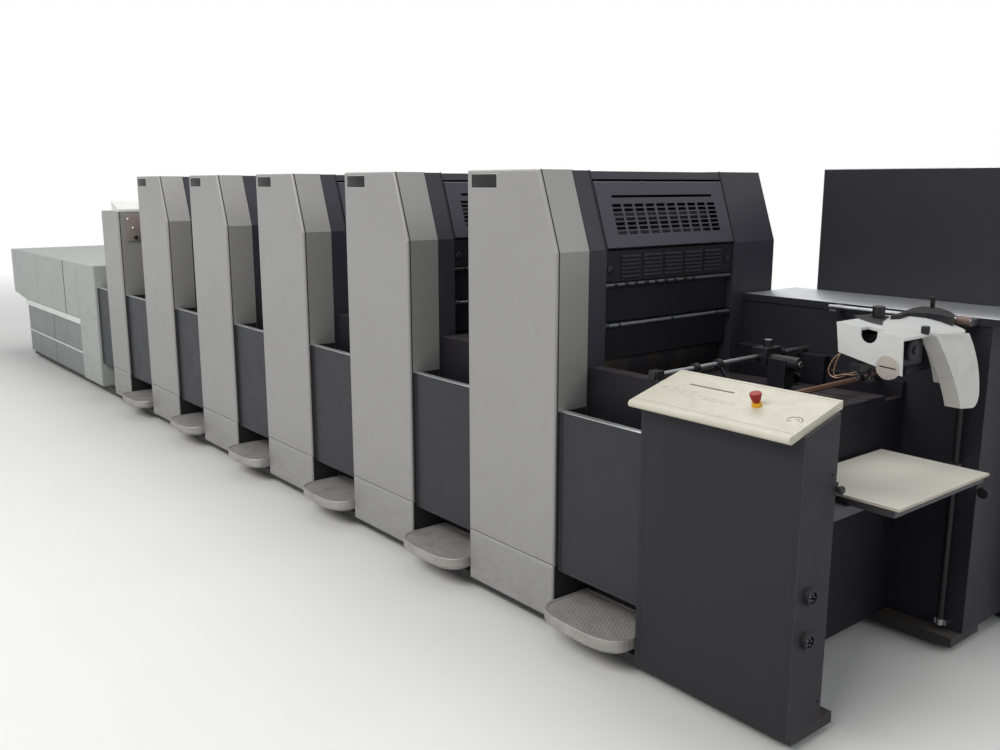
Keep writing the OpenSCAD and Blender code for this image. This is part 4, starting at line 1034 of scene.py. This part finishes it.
def head_arm_pieces():
    """Dark cover of the head's arm, its two air pipes and the lips of its four suckers."""
    arm = Shape()
    arm.prism([(x, across(y)) for x, y in ARM_COVER], 1.133, 1.172, "z")
    arm.piece("head_arm_cover", "black_steel", HEAD_BODY)
    pipes = Shape()
    for start, bow in ((4.050, 0.0), (4.068, 0.014)):
        pipes.tube([(start + x, across(y), z + bow * bowed) for x, y, z, bowed in AIR_PIPE], 0.0022, 8)
    pipes.piece("head_air_pipes", "bright_steel", HEAD_BODY, SHAFT_COPPER)
    lips = Shape()
    for y in (-0.09, 0.09):
        for x in (-0.016, 0.016):
            lips.turned([(0, 0), (0.009, 0), (0.0150, -0.006), (0.0165, -0.0075), (0.0155, -0.0078),
                         (0.008, -0.003), (0, -0.003)], (4.125 + x, across(y), 0.999), Z, 20)
    lips.piece("head_suckers", "roller_rubber", HEAD_BODY)


def pile_side_pieces():
    """Hand knobs beside the pile, and the dark sleeves of the guide rods."""
    knobs = Shape()
    inner = CABINET[1].y
    knobs.box((4.245, inner - BEHIND, 0.735), (4.257, inner + 0.020, 0.771), 0.001)
    knob(knobs, (4.256, inner + 0.012, 0.753), X, 0.012, 0.022)
    knob(knobs, (4.288, PILE_COLUMN_Y + 0.007, 0.576), -Y, 0.020, 0.020)
    knobs.piece("pile_side_knobs", **PLASTIC_AND_SHADE)
    sleeves = Shape()
    low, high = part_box("pile_board")
    for y in (low.y + 0.021, high.y - 0.021):
        sleeves.rod((4.194, y, 0.101), (4.194, y, 0.879), 0.0112)
    sleeves.piece("guide_rod_sleeves", "black_steel")


def rail_pieces():
    """Brown end roller of the head's rail, copper shaft over the feed board, and caps of the side lay."""
    roller = Shape()
    roller.rod((4.172, across(0.360), RAIL_Z), (4.218, across(0.360), RAIL_Z), 0.0135, 0.001, 32)
    roller.piece("rail_end_roller", "roller_rubber", material=ROLLER_BROWN)
    shaft = Shape()
    shaft.rod((3.900, CABINET[1].y + 0.030, 0.915), (3.900, PILE_COLUMN_Y - 0.022, 0.915), 0.0098, 0.0008)
    shaft.piece("shaft_sleeve", "bright_steel", material=SHAFT_COPPER)
    caps = Shape()
    caps.turned([(0, -0.001), (0.0155, -0.001), (0.0155, 0.0012), (0.0145, 0.002), (0, 0.002)],
                (3.592, across(0.170), 1.023), Z)
    caps.rod((3.733, across(0.160), 0.953), (3.740, across(0.160), 0.953), 0.012, 0.001)
    caps.piece("lay_caps", "bright_steel")
    stop = Shape()
    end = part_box("side_lays")[0].y
    stop.rod((3.584, end - 0.0025, 0.965), (3.584, end + 0.004, 0.965), 0.0155, 0.001)
    stop.piece("lay_rod_cap", **PLASTIC_AND_SHADE)


desk_pieces()
button_pieces()
cabinet_pieces()
ledge_pieces()
head_knob_pieces()
head_works_pieces()
head_disc_pieces()
head_arm_pieces()
pile_side_pieces()
rail_pieces()


# Electrical cabinet and feet

def electric_pieces():
    """Bright edge along the top of the side that faces the machine."""
    low, high = ELECTRIC
    strip_piece("electric_top_edge", (low.x + 0.001, low.y - 0.0003, high.z - 0.003),
                (high.x - 0.001, low.y + 0.004, high.z - 0.0001), "bright_trim", 0.0004)


def foot_pieces():
    """Lock nuts on the stems of the levelling feet."""
    feet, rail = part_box("levelling_feet"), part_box("base_rails")
    nut = [(0.023, 0), (0.031, 0), (0.034, 0.0015), (0.034, 0.0075), (0.031, 0.009), (0.023, 0.009)]
    nuts = Shape()
    for y in (feet[0].y + 0.045, feet[1].y - 0.045):
        for x in [face - UNIT_W / 2 for face in UNIT_FACES] + [rail[1].x - 0.072]:
            nuts.turned(nut, (x, y, rail[0].z - 0.0095), Z, 6)
    nuts.piece("foot_nuts", "base_iron", angle=20.0)


electric_pieces()
foot_pieces()


# Stage, light and camera

def stage_material(name, colour):
    """Pale floor that fades into the white background away from the machine."""
    g = Finish(name)
    tone = g.tinted(g.noise(g.place, 3.0, 3.0), colour, shaded(colour, 0.97))
    matt = g.put("ShaderNodeBsdfPrincipled", {"Base Color": tone, "Roughness": 0.85}).outputs[0]
    white = g.put("ShaderNodeEmission", {"Color": (1.0, 1.0, 1.0, 1.0), "Strength": 1.0}).outputs[0]
    flat = g.stretched(g.place, (0.6, 1.0, 0.0))
    away = g.put("ShaderNodeVectorMath", {0: flat}, operation="LENGTH").outputs["Value"]
    rays = g.put("ShaderNodeLightPath").outputs
    mirrored = g.calc("MAXIMUM", rays["Is Glossy Ray"], rays["Is Transmission Ray"])
    seen = g.calc("MAXIMUM", rays["Is Camera Ray"], mirrored)
    fade = g.times(g.spread(away, 3.2, 8.0), seen)
    return g.close(g.put("ShaderNodeMixShader", {0: fade, 1: matt, 2: white}))


def floor():
    """Floor, half a millimetre under the feet."""
    mesh = bpy.data.meshes.new("floor")
    reach = 60.0
    corners = [(-reach, -reach, 0), (reach, -reach, 0), (reach, reach, 0), (-reach, reach, 0)]
    mesh.from_pydata(corners, [], [(0, 1, 2, 3)])
    plane = bpy.data.objects.new("floor", mesh)
    plane.location.z = CAD_BOX[0].z - 0.0005
    mesh.materials.append(stage_material("floor_grey", srgb(226, 225, 222)))
    bpy.context.scene.collection.objects.link(plane)


def sky():
    """Soft light from all sides, and a plain white background for the camera, mirrors and glass."""
    world = bpy.data.worlds.new("studio")
    world.use_nodes = True
    bpy.context.scene.world = world
    g = Graph(world.node_tree)
    g.tree.nodes.clear()
    rays = g.put("ShaderNodeLightPath").outputs
    plain = g.calc("MAXIMUM", rays["Is Camera Ray"], rays["Is Transmission Ray"])
    seen = g.calc("MAXIMUM", plain, g.times(rays["Is Glossy Ray"], 0.6))
    ambient = g.put("ShaderNodeBackground", {"Color": (0.93, 0.96, 1.0, 1.0), "Strength": 0.42})
    white = g.put("ShaderNodeBackground", {"Color": (1.0, 1.0, 1.0, 1.0), "Strength": 1.0})
    mixed = g.put("ShaderNodeMixShader", {0: seen, 1: ambient.outputs[0], 2: white.outputs[0]})
    g.put("ShaderNodeOutputWorld", {"Surface": mixed.outputs[0]})


def softbox(name, place, target, width, height, power):
    """Large soft lamp that looks at a target."""
    lamp = bpy.data.lights.new(name, "AREA")
    lamp.shape = "RECTANGLE"
    lamp.size = width
    lamp.size_y = height
    lamp.energy = power
    holder = bpy.data.objects.new(name, lamp)
    holder.location = place
    holder.rotation_euler = (Vector(target) - Vector(place)).to_track_quat("-Z", "Y").to_euler()
    bpy.context.scene.collection.objects.link(holder)


def camera():
    """Camera at the photograph's place: its height and its two angles come from the vanishing points."""
    lens = bpy.data.cameras.new("camera")
    lens.sensor_width = 36.0
    lens.lens = 34.308
    eye = bpy.data.objects.new("camera", lens)
    eye.location = (5.617, -2.945, 1.57)
    eye.rotation_euler = (math.radians(78.7), 0.0, math.radians(51.0))
    bpy.context.scene.collection.objects.link(eye)
    bpy.context.scene.camera = eye


floor()
sky()
softbox("key", (3.0, -7.0, 6.5), (0.5, -0.5, 0.6), 7.0, 3.0, 490.0)
softbox("overhead", (0.0, 1.5, 6.5), (0.0, 0.0, 0.5), 10.0, 4.0, 300.0)
softbox("feeder_side", (9.5, 2.5, 4.0), (3.5, -0.2, 0.8), 4.0, 3.0, 60.0)
camera()

bpy.context.scene.view_settings.view_transform = "Standard"
